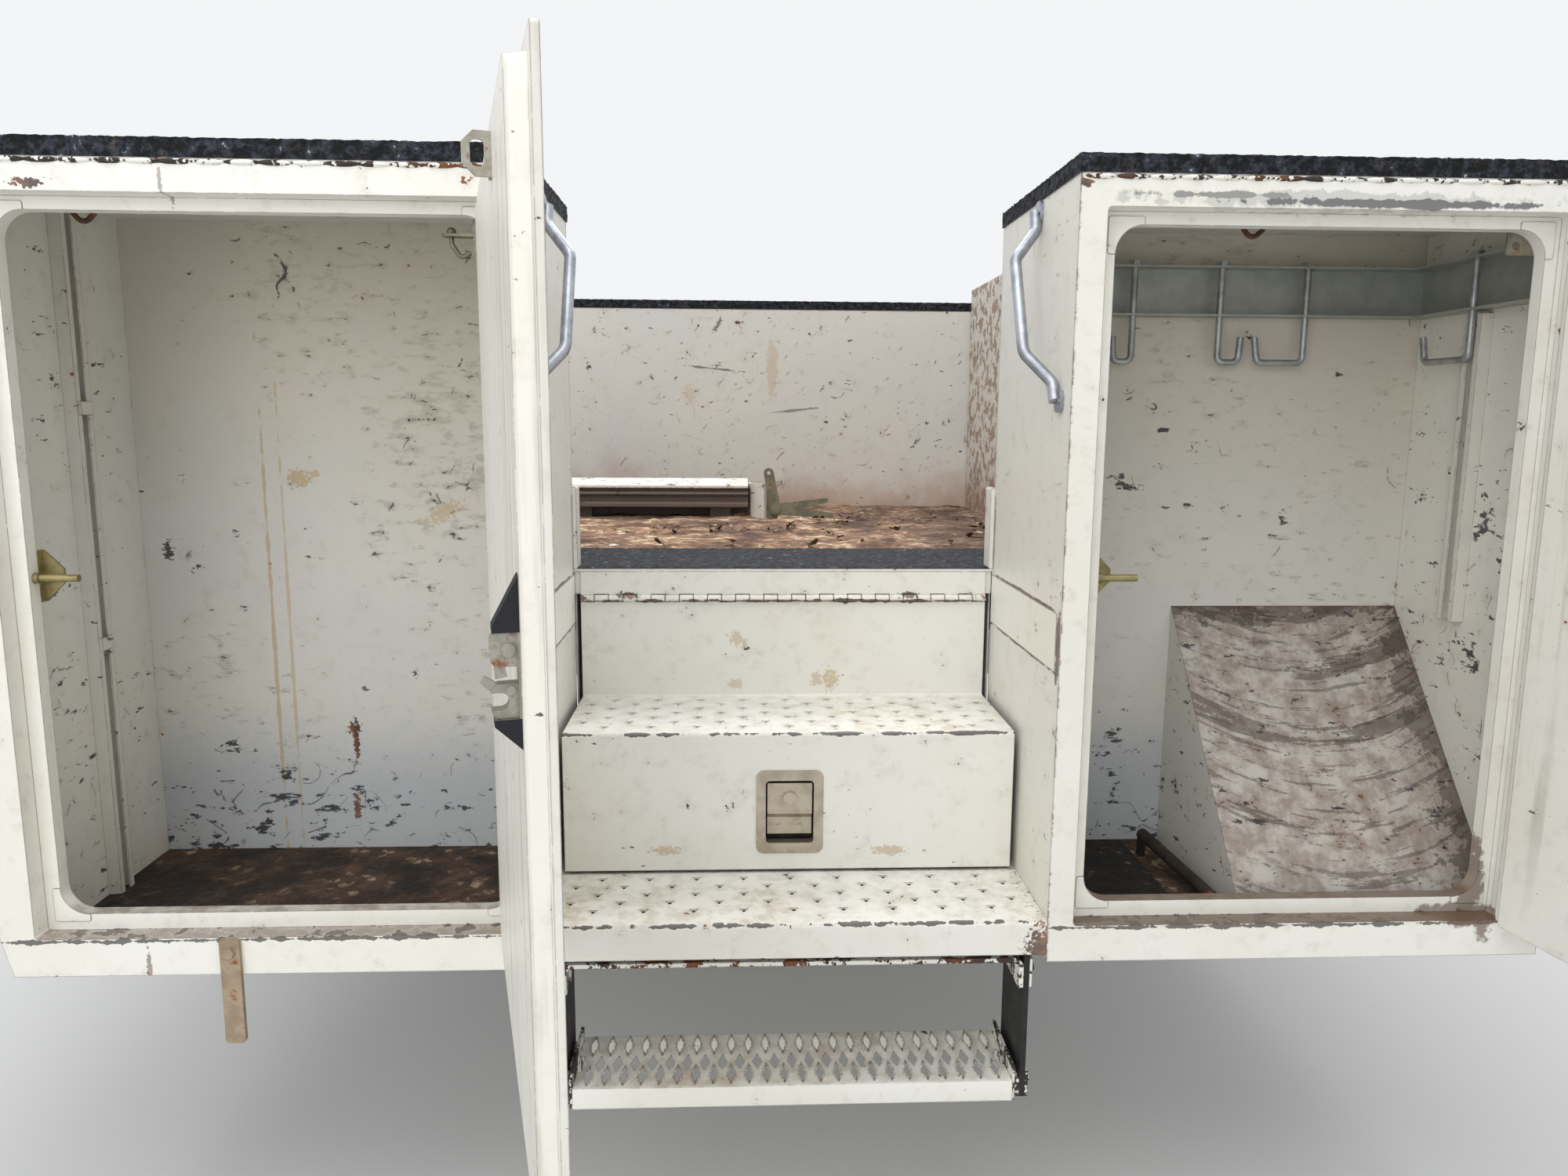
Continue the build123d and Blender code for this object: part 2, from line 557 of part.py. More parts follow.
# Fittings inside the cabinets
TRACK_WIDTH, TRACK_DEPTH = 41.0, 22.0
TRACK_Y = 250.0
track_lips = [area((low, low + 9), (TRACK_DEPTH - 3, TRACK_DEPTH)) for low in (3, TRACK_WIDTH - 12)]
track_outline = area((0, TRACK_WIDTH), (0, TRACK_DEPTH)) - area((3, TRACK_WIDTH - 3), (3, TRACK_DEPTH)) \
    + track_lips


def shelf_track(x, z, facing):
    """Upright lipped channel on a wall, open towards +X (facing 1) or -X (facing -1)."""
    plane = Plane(origin=(x, TRACK_Y, z[0]), x_dir=(0, 1, 0), z_dir=(0, 0, -facing))
    return extrude(plane * track_outline, amount=-facing * (z[1] - z[0]))


rear_inside, front_inside = REAR_WALL + SHEET, FRONT_END - SHEET
rear_track = shelf_track(rear_inside, (FLOOR_TOP, CEILING - 12), 1)
for z in (465, 860):
    rear_track += block((rear_inside + TRACK_DEPTH - 1, rear_inside + TRACK_DEPTH + 4),
                        (TRACK_Y + 4, TRACK_Y + TRACK_WIDTH - 4), (z - 11, z + 11))
save("shelf_tracks", rear_track, shelf_track(front_inside, (500, 1035), -1))

# Flanged rail along the back and front walls of the front cabinet, with the hooks through it
RAIL_HIGH, RAIL_LOW, RAIL_DEPTH, RAIL_WALL = 1130.0, 1041.0, 41.0, 3.0
RAIL_FRONT = 110.0
rail_back = PACK_DEPTH - SHEET
rail_height = RAIL_HIGH - RAIL_LOW
HOOK_RADIUS = 6.0
HOOK_LINE = 31.0
HOOK_BOTTOM = 958.0
HOOK_TIP = 1004.0
# Each rod hook: wall, place of the shank and of the tip along that wall
ROD_HOOKS = [("back", 635, 602), ("back", 797, 836), ("back", 958, 872), ("side", 262, 382)]


def rail(span, wall, through):
    """Rail along one wall, with holes for the shanks of its hooks."""
    outline = area((0, RAIL_DEPTH), (0, rail_height))
    outline -= area((RAIL_WALL, RAIL_DEPTH), (RAIL_WALL, rail_height - RAIL_WALL))
    low, high = span
    if wall == "back":
        plane = Plane(origin=(high, rail_back, RAIL_LOW), x_dir=(0, -1, 0), z_dir=(-1, 0, 0))
    else:
        plane = Plane(origin=(front_inside, low, RAIL_LOW), x_dir=(-1, 0, 0), z_dir=(0, 1, 0))
    piece = extrude(plane * outline, amount=high - low)
    for along in through:
        x, y = hook_place(wall, along)
        piece -= Pos(x, y, (RAIL_HIGH + RAIL_LOW) / 2) * Cylinder(HOOK_RADIUS + 0.5, 2 * rail_height)
    return piece


def hook_place(wall, along):
    """X and Y of a point on the hooks' line beside one wall."""
    if wall == "back":
        return along, rail_back - HOOK_LINE
    return front_inside - HOOK_LINE, along


back_shanks = [shank for wall, shank, _ in ROD_HOOKS if wall == "back"]
side_shanks = [shank for wall, shank, _ in ROD_HOOKS if wall == "side"]
hook_rail = rail((STAIR_HALF + SHEET, front_inside), "back", back_shanks)
hook_rail += rail((RAIL_FRONT, rail_back - RAIL_DEPTH), "side", side_shanks)
hook_rail += block((front_inside - RAIL_WALL, front_inside), (rail_back - RAIL_DEPTH, rail_back),
                   (RAIL_LOW, RAIL_HIGH))
for z in (1072, 1112):
    hook_rail += Pos(front_inside - RAIL_WALL, 304, z) * Rot(0, -90, 0) * extrude(RegularPolygon(8, 6), amount=6)
save("hook_rail", hook_rail)

hooks = []
for wall, shank, tip in ROD_HOOKS:
    lean = (tip - shank) / 12
    line = [(shank, RAIL_HIGH + 8), (shank, HOOK_BOTTOM), (tip, HOOK_BOTTOM), (tip + lean, HOOK_TIP)]
    points = [(*hook_place(wall, along), z) for along, z in line]
    nut = Pos(*hook_place(wall, shank), RAIL_HIGH + 4) * extrude(RegularPolygon(11, 6), amount=4, both=True)
    hooks.append(rod(points, [12, 12], HOOK_RADIUS) + nut)
save("rod_hooks", *hooks)

# Small hooks below the ceilings
CEILING_HOOKS = [(-1085, 140), (700, 140)]
small_hooks = []
for x, y in CEILING_HOOKS:
    points = [(x, y, CEILING), (x, y, CEILING - 42), (x + 16, y, CEILING - 62), (x + 34, y, CEILING - 44)]
    small_hooks.append(rod(points, [10, 12], 4))
save("ceiling_hooks", *small_hooks)

# Strikers on the jambs: a tapered plate behind the opening's lip, with the pin of the rotary latch
strikers = []
for _, recess in CURB_DOORS:
    jamb = recess[0] + LATCH_JAMB
    outline = Polygon((jamb - SHEET, STRIKER_Z - 38), (jamb + 2, STRIKER_Z - 38), (jamb + 30, STRIKER_Z - 9),
                      (jamb + 30, STRIKER_Z + 11), (jamb + 2, STRIKER_Z + 40), (jamb - SHEET, STRIKER_Z + 40),
                      align=None)
    striker = upright(outline, LIP_END + 12, LIP_END + 16)
    striker += block((jamb - SHEET, jamb + 1), (LIP_END, LIP_END + 16), (STRIKER_Z - 38, STRIKER_Z + 40))
    pin = Pos(jamb, STRIKER_Y, STRIKER_Z) * Rot(0, 90, 0)
    strikers.append(striker)
    strikers.append(pin * Cylinder(5.5, 64, align=(Align.CENTER, Align.CENTER, Align.MIN))
                    + pin * Cylinder(8, 8, align=(Align.CENTER, Align.CENTER, Align.MIN)))
save("striker_pins", *strikers)

# Stay brackets behind the openings' upper corners beside the hinges: an arm with an eye and its hook
# in the rear cabinet, a square plate with a hole in the front one
STAY_Z = 1108.0
rear_x, front_x = [recess[1] - HINGE_JAMB for _, recess in CURB_DOORS]
bracket = block((rear_x - 32, rear_x + SHEET), (LIP_END, LIP_END + 3), (STAY_Z - 34, STAY_Z + 30))
eye = area((rear_x - 78, rear_x - 20), (LIP_END, LIP_END + 22), 6)
eye -= Pos(rear_x - 66, LIP_END + 11) * Circle(4.5)
bracket += extrude(Plane.XY.offset(STAY_Z) * eye, amount=4)
hook_points = [(rear_x + across, LIP_END + 11, STAY_Z + up)
               for across, up in ((-66, 9), (-66, -10), (-53, -30), (-39, -22))]
stay_hook = rod(hook_points, [8, 8], 3.5) + Pos(rear_x - 66, LIP_END + 11, STAY_Z + 7) * Sphere(7)
plate = area((front_x - 44, front_x + SHEET), (STAY_Z - 8, MOUTH_HIGH + SHEET), 3)
plate -= Pos(front_x - 30, STAY_Z + 6) * Circle(6)
save("stay_brackets", bracket, stay_hook, upright(plate, LIP_END, LIP_END + 3))

# Housing of the outrigger's slanted tube in the front cabinet, and the pipe along its foot
HOUSING_X = 752.0
HOUSING_TOP = 495.0
HOUSING_TOE = 78.0
slope = Polygon((rail_back, FLOOR_TOP), (rail_back, HOUSING_TOP), (HOUSING_TOE, FLOOR_TOP), align=None)
slope_inside = Polygon((rail_back, FLOOR_TOP), (rail_back, HOUSING_TOP - 5), (HOUSING_TOE + 5, FLOOR_TOP),
                       align=None)
housing = sideways(slope, HOUSING_X, front_inside) - sideways(slope_inside, HOUSING_X + SHEET, front_inside)
save("outrigger_housing", housing)
pipe_ends = [(688, 372, FLOOR_TOP + 44), (738, 110, FLOOR_TOP + 11)]
pipe = sweep(Plane(pipe_ends[0], z_dir=Vector(*pipe_ends[1]) - Vector(*pipe_ends[0])) * Circle(11),
             path=Line(*pipe_ends))
save("floor_pipe", pipe + block((682, 694), (366, 378), (FLOOR_TOP, FLOOR_TOP + 40)))

# Drop step on rubber straps below the steps
HANGER_HALF = 366.0
HANGER_BAR = 8.0
STRAP_Y = (6.0, 134.0)
hanger_outside = area((-HANGER_HALF, HANGER_HALF), (-90, 4), 18)
hanger_inside = area((-HANGER_HALF + HANGER_BAR, HANGER_HALF - HANGER_BAR), (-90, 4 - HANGER_BAR), 10)
legs = area((-HANGER_HALF, HANGER_HALF), (-47, 4))
hanger = upright((hanger_outside - hanger_inside) & legs, *STRAP_Y)
for x in (-240, 240):
    hanger += block((x - 25, x + 25), (60, 66), (4, LOW_TREAD - SHEET))
save("step_hanger", hanger)

PLANK_TOP, PLANK_LIP, PLANK_HALF = -200.0, 36.0, 352.0
PLANK_Y = (-6.0, 146.0)
DIAMOND_PITCH = 28.8
DIAMOND_LENGTH = 54.0
DIAMOND_WIDTH = 17.0
# Rows of openings in the plank: Y of the row, share of a pitch that it is shifted, serrated or plain
PLANK_ROWS = [(28.0, 0.0, True), (70.0, 0.5, False), (112.0, 0.0, True)]


def diamond(serrated):
    """Opening of the plank, with its points towards the curb and inwards."""
    steps = 12 if serrated else 2
    tooth = 1.3 if serrated else 0.0
    side = []
    for index in range(1, steps):
        share = 2 * index / steps - 1
        bulge = 1 - abs(share) ** (1.6 if serrated else 1.0)
        reach = DIAMOND_WIDTH / 2 * bulge + (tooth if index % 2 else -tooth)
        side.append((max(reach, 0.8), share * DIAMOND_LENGTH / 2))
    left = [(-x, y) for x, y in reversed(side)]
    return Polygon((0, -DIAMOND_LENGTH / 2), *side, (0, DIAMOND_LENGTH / 2), *left, align=None)


plank_line = [(PLANK_Y[0] + half, PLANK_TOP - PLANK_LIP), (PLANK_Y[0] + half, PLANK_TOP - half),
              (PLANK_Y[1] - half, PLANK_TOP - half), (PLANK_Y[1] - half, PLANK_TOP - PLANK_LIP)]
plank = bent_sheet(plank_line, (-PLANK_HALF, PLANK_HALF), 4)
openings = Sketch()
for row_y, shift, serrated in PLANK_ROWS:
    count = 24 if shift == 0 else 23
    for index in range(count):
        openings += Pos(DIAMOND_PITCH * (index - (count - 1) / 2), row_y) * diamond(serrated)
plank -= extrude(Plane.XY.offset(PLANK_TOP - 2 * SHEET) * openings, amount=3 * SHEET)
save("drop_step", plank)

STRAP_THICK, CLAMP = 9.0, 5.0
strap_x = (HANGER_HALF, HANGER_HALF + STRAP_THICK)
outer_x = (strap_x[1], strap_x[1] + CLAMP)
strap = block(strap_x, STRAP_Y, (PLANK_TOP - PLANK_LIP, 8))
save("step_straps", *both_ends(strap))
end_plate = block((PLANK_HALF, PLANK_HALF + CLAMP), (0, 140), (PLANK_TOP - PLANK_LIP - 2, PLANK_TOP + 20))
end_plate += block((PLANK_HALF + CLAMP, HANGER_HALF), STRAP_Y, (PLANK_TOP - PLANK_LIP, PLANK_TOP - 4))
clamps = both_ends(end_plate)
for low, high in ((-46, 2), (PLANK_TOP - PLANK_LIP, PLANK_TOP + 8)):
    clamp = block(outer_x, STRAP_Y, (low, high))
    for y in (STRAP_Y[0] + 24, STRAP_Y[1] - 24):
        bolt = Pos(outer_x[1], y, (low + high) / 2) * Rot(0, 90, 0)
        clamp += bolt * extrude(RegularPolygon(9, 6), amount=7)
    clamps += both_ends(clamp)
save("strap_clamps", *clamps)

# Bar that hangs below the rear cabinet's edge from one bolt
tab = upright(area((-880, -850), (-110, 60), 6), -8, 0)
tab += Pos(-865, -8, 40) * Rot(90, 0, 0) * extrude(RegularPolygon(9, 6), amount=6)
save("hanging_tab", tab)
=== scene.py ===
# %% [markdown]
# # Front bay of a utility truck body
#
# This is one stretch of the steel body on a work truck: two side cabinets with their doors open,
# the lift-up steps between them, the deck behind, a closed pack on the far side and a drop step on
# rubber straps. The construction arrives finished. What is left for this lesson is how it looks:
# years of paint, scuffs, rust and grit, and the small formed details that catch the light.
#
# ## Load the construction
#
# Every piece of the bay already sits at its place, in metres, with X running forward along the
# truck, Y towards the street side and Z up. We only read it, and hang the new pieces on its bodies.

# %% Load the bay
import math
import random
from functools import partial
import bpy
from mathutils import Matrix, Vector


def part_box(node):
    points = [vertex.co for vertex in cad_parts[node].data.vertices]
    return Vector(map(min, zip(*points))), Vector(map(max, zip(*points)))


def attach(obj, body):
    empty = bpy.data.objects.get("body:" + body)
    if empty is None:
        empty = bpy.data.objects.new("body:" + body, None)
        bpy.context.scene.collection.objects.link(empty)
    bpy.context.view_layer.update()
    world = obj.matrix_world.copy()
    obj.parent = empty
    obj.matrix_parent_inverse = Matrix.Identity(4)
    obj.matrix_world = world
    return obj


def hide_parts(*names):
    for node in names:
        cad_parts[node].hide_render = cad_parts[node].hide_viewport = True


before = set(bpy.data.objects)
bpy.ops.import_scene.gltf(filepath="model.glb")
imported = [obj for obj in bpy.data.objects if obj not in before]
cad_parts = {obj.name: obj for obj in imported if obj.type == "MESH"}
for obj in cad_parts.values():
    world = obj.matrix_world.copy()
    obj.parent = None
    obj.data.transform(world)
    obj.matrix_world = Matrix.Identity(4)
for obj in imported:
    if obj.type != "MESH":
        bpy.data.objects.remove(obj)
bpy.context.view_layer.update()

from types import SimpleNamespace

import bmesh
import bpy
from mathutils import Matrix, Vector

# %% [markdown]
# ## Measure what the bay gives us
#
# A new piece must sit on what carries it, so its place is worked out from the boxes of the pieces
# around it. We name the few planes that come back again and again: the curb side's face, the bottom
# edge of the cabinets, the deck, the walls beside the steps and the treads.

# %% Named planes of the bay
FACE_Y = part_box("rear_cabinet_face")[0].y
BODY_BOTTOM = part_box("rear_cabinet_face")[0].z
PACK_BACK_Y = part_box("cabinet_backs")[1].y
DECK_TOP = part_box("deck")[1].z
STAIR_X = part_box("bottom_tread")[1].x
LOW_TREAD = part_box("bottom_tread")[1].z
LOWER_RISER_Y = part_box("step_lid")[0].y
STEP_RISE = 0.250
MIDDLE_TREAD = LOW_TREAD + STEP_RISE
FLOOR_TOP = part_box("compartment_floors")[1].z
FAR_WALL_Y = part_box("street_inner_wall")[0].y
BOX_REAR_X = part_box("cross_box")[0].x

print("face", round(FACE_Y, 3), "bottom", round(BODY_BOTTOM, 3), "deck", round(DECK_TOP, 3),
      "steps half width", round(STAIR_X, 3))

# %% [markdown]
# ## Put the camera where the photographer stood
#
# A camera looks along its own -Z axis. We turn it up to the horizon, tip it down by the pitch, turn
# it to the right by the yaw and finally roll it a little. Building the turn as a product of three
# simple turns is easier to follow than guessing three angles in a panel.

# %% Camera
CAMERA_PLACE = Vector((-0.089, -2.814, 0.461))
CAMERA_YAW = math.radians(2.451)
CAMERA_PITCH = math.radians(8.770)
CAMERA_ROLL = math.radians(0.342)
SENSOR_WIDTH = 36.0
CAMERA_LENS = 24.94


def add_camera():
    """Camera at the photo's place and angle."""
    data = bpy.data.cameras.new("photo_camera")
    data.sensor_width = SENSOR_WIDTH
    data.lens = CAMERA_LENS
    camera = bpy.data.objects.new("photo_camera", data)
    bpy.context.scene.collection.objects.link(camera)
    turn = Matrix.Rotation(-CAMERA_YAW, 4, "Z")
    tip = Matrix.Rotation(math.pi / 2 - CAMERA_PITCH, 4, "X")
    roll = Matrix.Rotation(CAMERA_ROLL, 4, "Z")
    camera.matrix_world = Matrix.Translation(CAMERA_PLACE) @ turn @ tip @ roll
    bpy.context.scene.camera = camera
    return camera


camera = add_camera()
print("camera at", tuple(round(v, 3) for v in camera.matrix_world.translation))

# %% [markdown]
# ## Light it like a photo studio
#
# Big, soft lamps show the form without hard shadows. A wide panel above and in front stands in for
# the open sky, a low one on the left fills the cabinets, and one behind lights the deck and gives
# the treads their bright tops. The table gives each panel's place, what it points at, its side in
# metres and its power in watts.

# %% Lamps
LAMPS = [("sky_panel", (-0.6, -2.6, 4.2), (0.0, -0.6, 0.0), 4.0, 112),
         ("front_panel", (-1.8, -5.0, 1.6), (0.1, -1.0, 0.2), 3.2, 62),
         ("deck_panel", (0.6, 1.9, 4.0), (0.0, -0.3, 0.2), 2.6, 130)]

for name, place, aim, size, power in LAMPS:
    data = bpy.data.lights.new(name, "AREA")
    data.shape = "SQUARE"
    data.size = size
    data.energy = power
    lamp = bpy.data.objects.new(name, data)
    bpy.context.scene.collection.objects.link(lamp)
    lamp.location = place
    direction = Vector(aim) - Vector(place)
    lamp.rotation_euler = direction.to_track_quat("-Z", "Y").to_euler()

# %% [markdown]
# ## Small helpers for building materials in code
#
# A material is a tree of nodes. Written out in full, each node takes four or five lines, so we keep
# one helper that adds a node, sets its options and joins its inputs in one go. An input is either a
# plain value or the output of a node made before. The tree in hand is kept in one place, and the
# common sums get short names.

# %% Node helpers
current = SimpleNamespace(tree=None)


def fill(node, **inputs):
    """Sets or joins inputs: i0 and i1 go by number, others by name, with _ for a blank."""
    for key, value in inputs.items():
        socket = node.inputs[int(key[1:]) if key[1:].isdigit() else key.replace("_", " ")]
        if isinstance(value, bpy.types.NodeSocket):
            node.id_data.links.new(value, socket)
        else:
            socket.default_value = value
    return node


def put(kind, settings=None, **inputs):
    """Adds a node to the tree in hand, with its options and its inputs."""
    node = current.tree.nodes.new("ShaderNode" + kind)
    for key, value in (settings or {}).items():
        setattr(node, key, value)
    return fill(node, **inputs)


def maths(operation, first, second=0.0, third=0.0, clamp=False):
    """One sum on numbers; returns its output."""
    settings = {"operation": operation, "use_clamp": clamp}
    return put("Math", settings, i0=first, i1=second, i2=third).outputs[0]


times, plus, minus = partial(maths, "MULTIPLY"), partial(maths, "ADD"), partial(maths, "SUBTRACT")
times_plus, highest = partial(maths, "MULTIPLY_ADD"), partial(maths, "MAXIMUM")
is_over, is_under = partial(maths, "GREATER_THAN"), partial(maths, "LESS_THAN")
size_of = partial(maths, "ABSOLUTE")


def noise(place, scale, detail, roughness=0.5):
    """Cloudy pattern from 0 to 1."""
    return put("TexNoise", Vector=place, Scale=scale, Detail=detail,
               Roughness=roughness).outputs["Fac"]


def squeezed(place, factors):
    """Place multiplied along each direction, which stretches a pattern the other way."""
    return put("VectorMath", {"operation": "MULTIPLY"}, i0=place, i1=factors).outputs[0]


def mix_colour(share, first, second):
    """Mixes two colours by a share; returns the colour."""
    return put("Mix", {"data_type": "RGBA"}, i0=share, i6=first, i7=second).outputs[2]


def ramp(value, low, high, bottom=0.0, top=1.0):
    """Turns the range low..high of a value into bottom..top, smoothly and without going past it."""
    return put("MapRange", {"interpolation_type": "SMOOTHSTEP"}, i0=value, i1=low, i2=high,
               i3=bottom, i4=top).outputs[0]


def rgb(*seen):
    """Colour as it is seen on screen, from 0 to 255, in the linear values that a shader wants."""
    shares = [value / 255 for value in seen]
    return (*(s / 12.92 if s <= 0.04 else ((s + 0.055) / 1.055) ** 2.4 for s in shares), 1.0)


print("paint white in linear values:", [round(v, 3) for v in rgb(236, 233, 222)])

# %% [markdown]
# ### The studio's background
#
# The world is a soft, slightly blue light. The camera and the gloss see a plain pale grey instead,
# so the backdrop stays nearly white whatever the light is.

# %% World
SKY_COLOUR = (0.88, 0.90, 0.93, 1)
SKY_STRENGTH = 0.66
BACKDROP_COLOUR = (0.90, 0.91, 0.92, 1)

world = bpy.data.worlds.new("studio")
bpy.context.scene.world = world
world.use_nodes = True
current.tree = world.node_tree
background = fill(current.tree.nodes["Background"], Color=SKY_COLOUR, Strength=SKY_STRENGTH)
backdrop = put("Background", Color=BACKDROP_COLOUR)
rays = put("LightPath").outputs
direct = highest(rays["Is Camera Ray"], rays["Is Glossy Ray"])
seen = put("MixShader", i0=direct, i1=background.outputs[0], i2=backdrop.outputs[0])
fill(current.tree.nodes["World Output"], Surface=seen.outputs[0])
bpy.context.scene.view_settings.view_transform = "Standard"
print("world ready:", world.name)

# %% [markdown]
# ## Shared effects as node groups
#
# Wear looks alike all over a truck: blotches, scuffs, thin scratches, single marks, chipped edges
# and bands of grime. Each of these effects is a node group, built once, with inputs for its scale
# and its amount. Every material then places the group with its own values. A group hands out masks
# and normals; the shader itself stays in the material. Noise is what costs time in a render, so a
# material makes three clouds, a broad, a fine and a gritty one, and lends them to all of its
# groups.

# %% Start a node group
def new_group(name, inputs, outputs, vector_outputs=()):
    """Starts a node group. inputs gives each input's first value, None for a vector. Returns the
    inputs by name and a way to set outputs."""
    tree = current.tree = bpy.data.node_groups.new(name, "ShaderNodeTree")
    for label, value in inputs.items():
        kind = "NodeSocketVector" if value is None else "NodeSocketFloat"
        socket = tree.interface.new_socket(label, in_out="INPUT", socket_type=kind)
        if value is not None:
            socket.default_value = value
    for labels, kind in ((outputs, "NodeSocketFloat"), (vector_outputs, "NodeSocketVector")):
        for label in labels:
            tree.interface.new_socket(label, in_out="OUTPUT", socket_type=kind)
    entry = tree.nodes.new("NodeGroupInput")
    leave = tree.nodes.new("NodeGroupOutput")

    def give(label, output):
        tree.links.new(output, leave.inputs[label])

    return {label: entry.outputs[label] for label in inputs}, give


def use(group, **inputs):
    """Places a node group in the tree in hand; returns its outputs."""
    return put("Group", {"node_tree": bpy.data.node_groups[group]}, **inputs).outputs


print("node groups so far:", len(bpy.data.node_groups))

# %% [markdown]
# ### Blotches
#
# Stains, rust spots and flaked paint are all islands of a cloudy pattern: a threshold cuts the
# islands out of a cloud. The amount moves the threshold, so that a larger amount floods more of the
# surface.

# %% Group: blotches
def build_blotches():
    """A cloud, an amount and a softness give a mask of islands."""
    get, give = new_group("Blotches", {"Cloud": 0.5, "Amount": 0.3, "Softness": 0.05}, ["Mask"])
    level = times_plus(get["Amount"], -0.5, 0.78)
    give("Mask", ramp(get["Cloud"], level, plus(level, get["Softness"])))


build_blotches()

# %% [markdown]
# ### Scuffs and hair lines
#
# Tools slide along a wall and leave smears and black dashes that are longer than they are high.
# Noise does that when its coordinates are squeezed along one direction. The same cloud gives
# both: a low threshold leaves grey smears, a high one leaves only the black cores. The density of
# the black ones may change over a wall, because most bumps happen near the floor. Hair lines are
# thinner still: where a smooth pattern crosses its middle value runs a fine winding curve.

# %% Group: scuffs and hair lines
def build_scuffs():
    """A squeezed cloud gives soft grey smears and hard black dashes."""
    get, give = new_group("Scuffs", {"Vector": None, "Squeeze": None, "Scale": 34.0, "Broad": 0.5,
                                     "Grit": 0.5, "Amount": 0.3, "Density": 0.0}, ["Smear", "Dash"])
    cloud = noise(squeezed(get["Vector"], get["Squeeze"]), get["Scale"], 5.0, 0.68)
    level = times_plus(get["Amount"], -0.30, 0.83)
    joined = times_plus(get["Broad"], 0.45, times(cloud, 0.72))
    give("Smear", ramp(joined, level, plus(level, 0.08)))
    core = times_plus(get["Density"], -0.20, 0.735)
    give("Dash", ramp(times_plus(get["Grit"], 0.12, cloud), plus(core, 0.06), plus(core, 0.085)))


def build_hair_lines():
    """Thin winding lines, long brown ones and short black ones."""
    get, give = new_group("Hair lines", {"Vector": None, "Scale": 19.0, "Width": 0.012,
                                         "Broad": 0.5, "Fine": 0.5, "Amount": 0.4, "Density": 0.0},
                          ["Brown", "Black"])
    off = size_of(minus(noise(get["Vector"], get["Scale"], 0.0), 0.5))
    thin = ramp(off, 0.0, get["Width"], 1.0, 0.0)
    level = times_plus(get["Amount"], -0.3, 0.76)
    mixed = times_plus(get["Broad"], 0.4, times(get["Fine"], 0.6))
    broken = ramp(mixed, level, plus(level, 0.04))
    give("Brown", times(thin, broken))
    short = times_plus(get["Density"], 0.30, get["Fine"])
    give("Black", times(thin, ramp(short, 0.73, 0.77)))


build_scuffs()
build_hair_lines()

# %% [markdown]
# ### One mark at one place
#
# Some marks are the object's own: the ring under a leak, the drip below it, a scar across a
# panel. Such a mark is an ellipse at a given place: stretched and shifted coordinates measure how
# far a point is from the middle, counted in half sizes, and the fine cloud frays the border. Made
# soft, it also says where a wall gets its black scuffs. A short table then lists the marks of
# each wall.

# %% Group: mark
def build_mark():
    """A frayed ellipse round one place."""
    get, give = new_group("Mark", {"Vector": None, "Stretch": None, "Shift": None, "Ragged": 0.5,
                                   "Softness": 0.0, "Strength": 1.0}, ["Mask"])
    reach = put("VectorMath", {"operation": "MULTIPLY_ADD"}, i0=get["Vector"], i1=get["Stretch"],
                i2=get["Shift"])
    far = put("VectorMath", {"operation": "LENGTH"}, i0=reach.outputs[0]).outputs["Value"]
    frayed = times_plus(get["Ragged"], 3.0, far)
    full = minus(2.2, get["Softness"])
    give("Mask", ramp(frayed, 2.5, full, 0.0, get["Strength"]))


build_mark()

# %% [markdown]
# ### Chipped edges
#
# Paint goes first where a sheet bends or ends. The Bevel node looks a few millimetres around each
# point and answers with a rounded normal; where that differs from the true normal, there is an
# edge. The clouds then eat into that line, so that the chips are ragged. The rounded normal
# itself softens the edge's highlight, as real bent sheet has no razor edges.

# %% Group: chipped edges
def build_chipped_edges():
    """Chips along edges, the edges themselves and the rounded normal."""
    get, give = new_group("Chipped edges",
                          {"Reach": 0.0025, "Ragged": 0.5, "Grit": 0.5, "Broad": 0.5,
                           "Amount": 0.5}, ["Mask", "Edge"], ["Normal"])
    rounded = put("Bevel", {"samples": 4}, Radius=get["Reach"]).outputs[0]
    true = put("NewGeometry").outputs["Normal"]
    same = put("VectorMath", {"operation": "DOT_PRODUCT"}, i0=rounded, i1=true)
    edge = ramp(same.outputs["Value"], 0.995, 0.80)
    grown = times_plus(edge, 0.35, times_plus(get["Ragged"], 0.6, times(get["Broad"], 0.5)))
    grown = times_plus(get["Grit"], 0.25, grown)
    level = times_plus(get["Amount"], -0.35, 1.18)
    chips = ramp(grown, level, plus(level, 0.04))
    give("Mask", times(chips, ramp(edge, 0.02, 0.2)))
    give("Edge", edge)
    give("Normal", rounded)


build_chipped_edges()

# %% [markdown]
# ### Bands along a plane
#
# Grime gathers near a floor, rust near a seam. This group measures how far a coordinate is from a
# plane, and fades a mask out over a reach, with a cloud so that the border wanders.

# %% Group: band
def build_band():
    """A mask that fades out on both sides of a plane."""
    get, give = new_group("Band", {"Coordinate": 0.0, "At": 0.0, "Reach": 0.1, "Cloud": 0.5,
                                   "Wander": 0.5}, ["Mask"])
    away = size_of(minus(get["Coordinate"], get["At"]))
    share = maths("DIVIDE", away, get["Reach"])
    shift = times(minus(get["Cloud"], 0.5), 5.0)
    moved = plus(share, times(shift, get["Wander"]))
    give("Mask", ramp(moved, 1.0, 0.0))


def band(coordinate, place, reach, cloud, wander):
    """Places the band group; returns its mask."""
    return use("Band", Coordinate=coordinate, At=place, Reach=reach, Cloud=cloud,
               Wander=wander)["Mask"]


build_band()
print("node groups:", [g.name for g in bpy.data.node_groups])

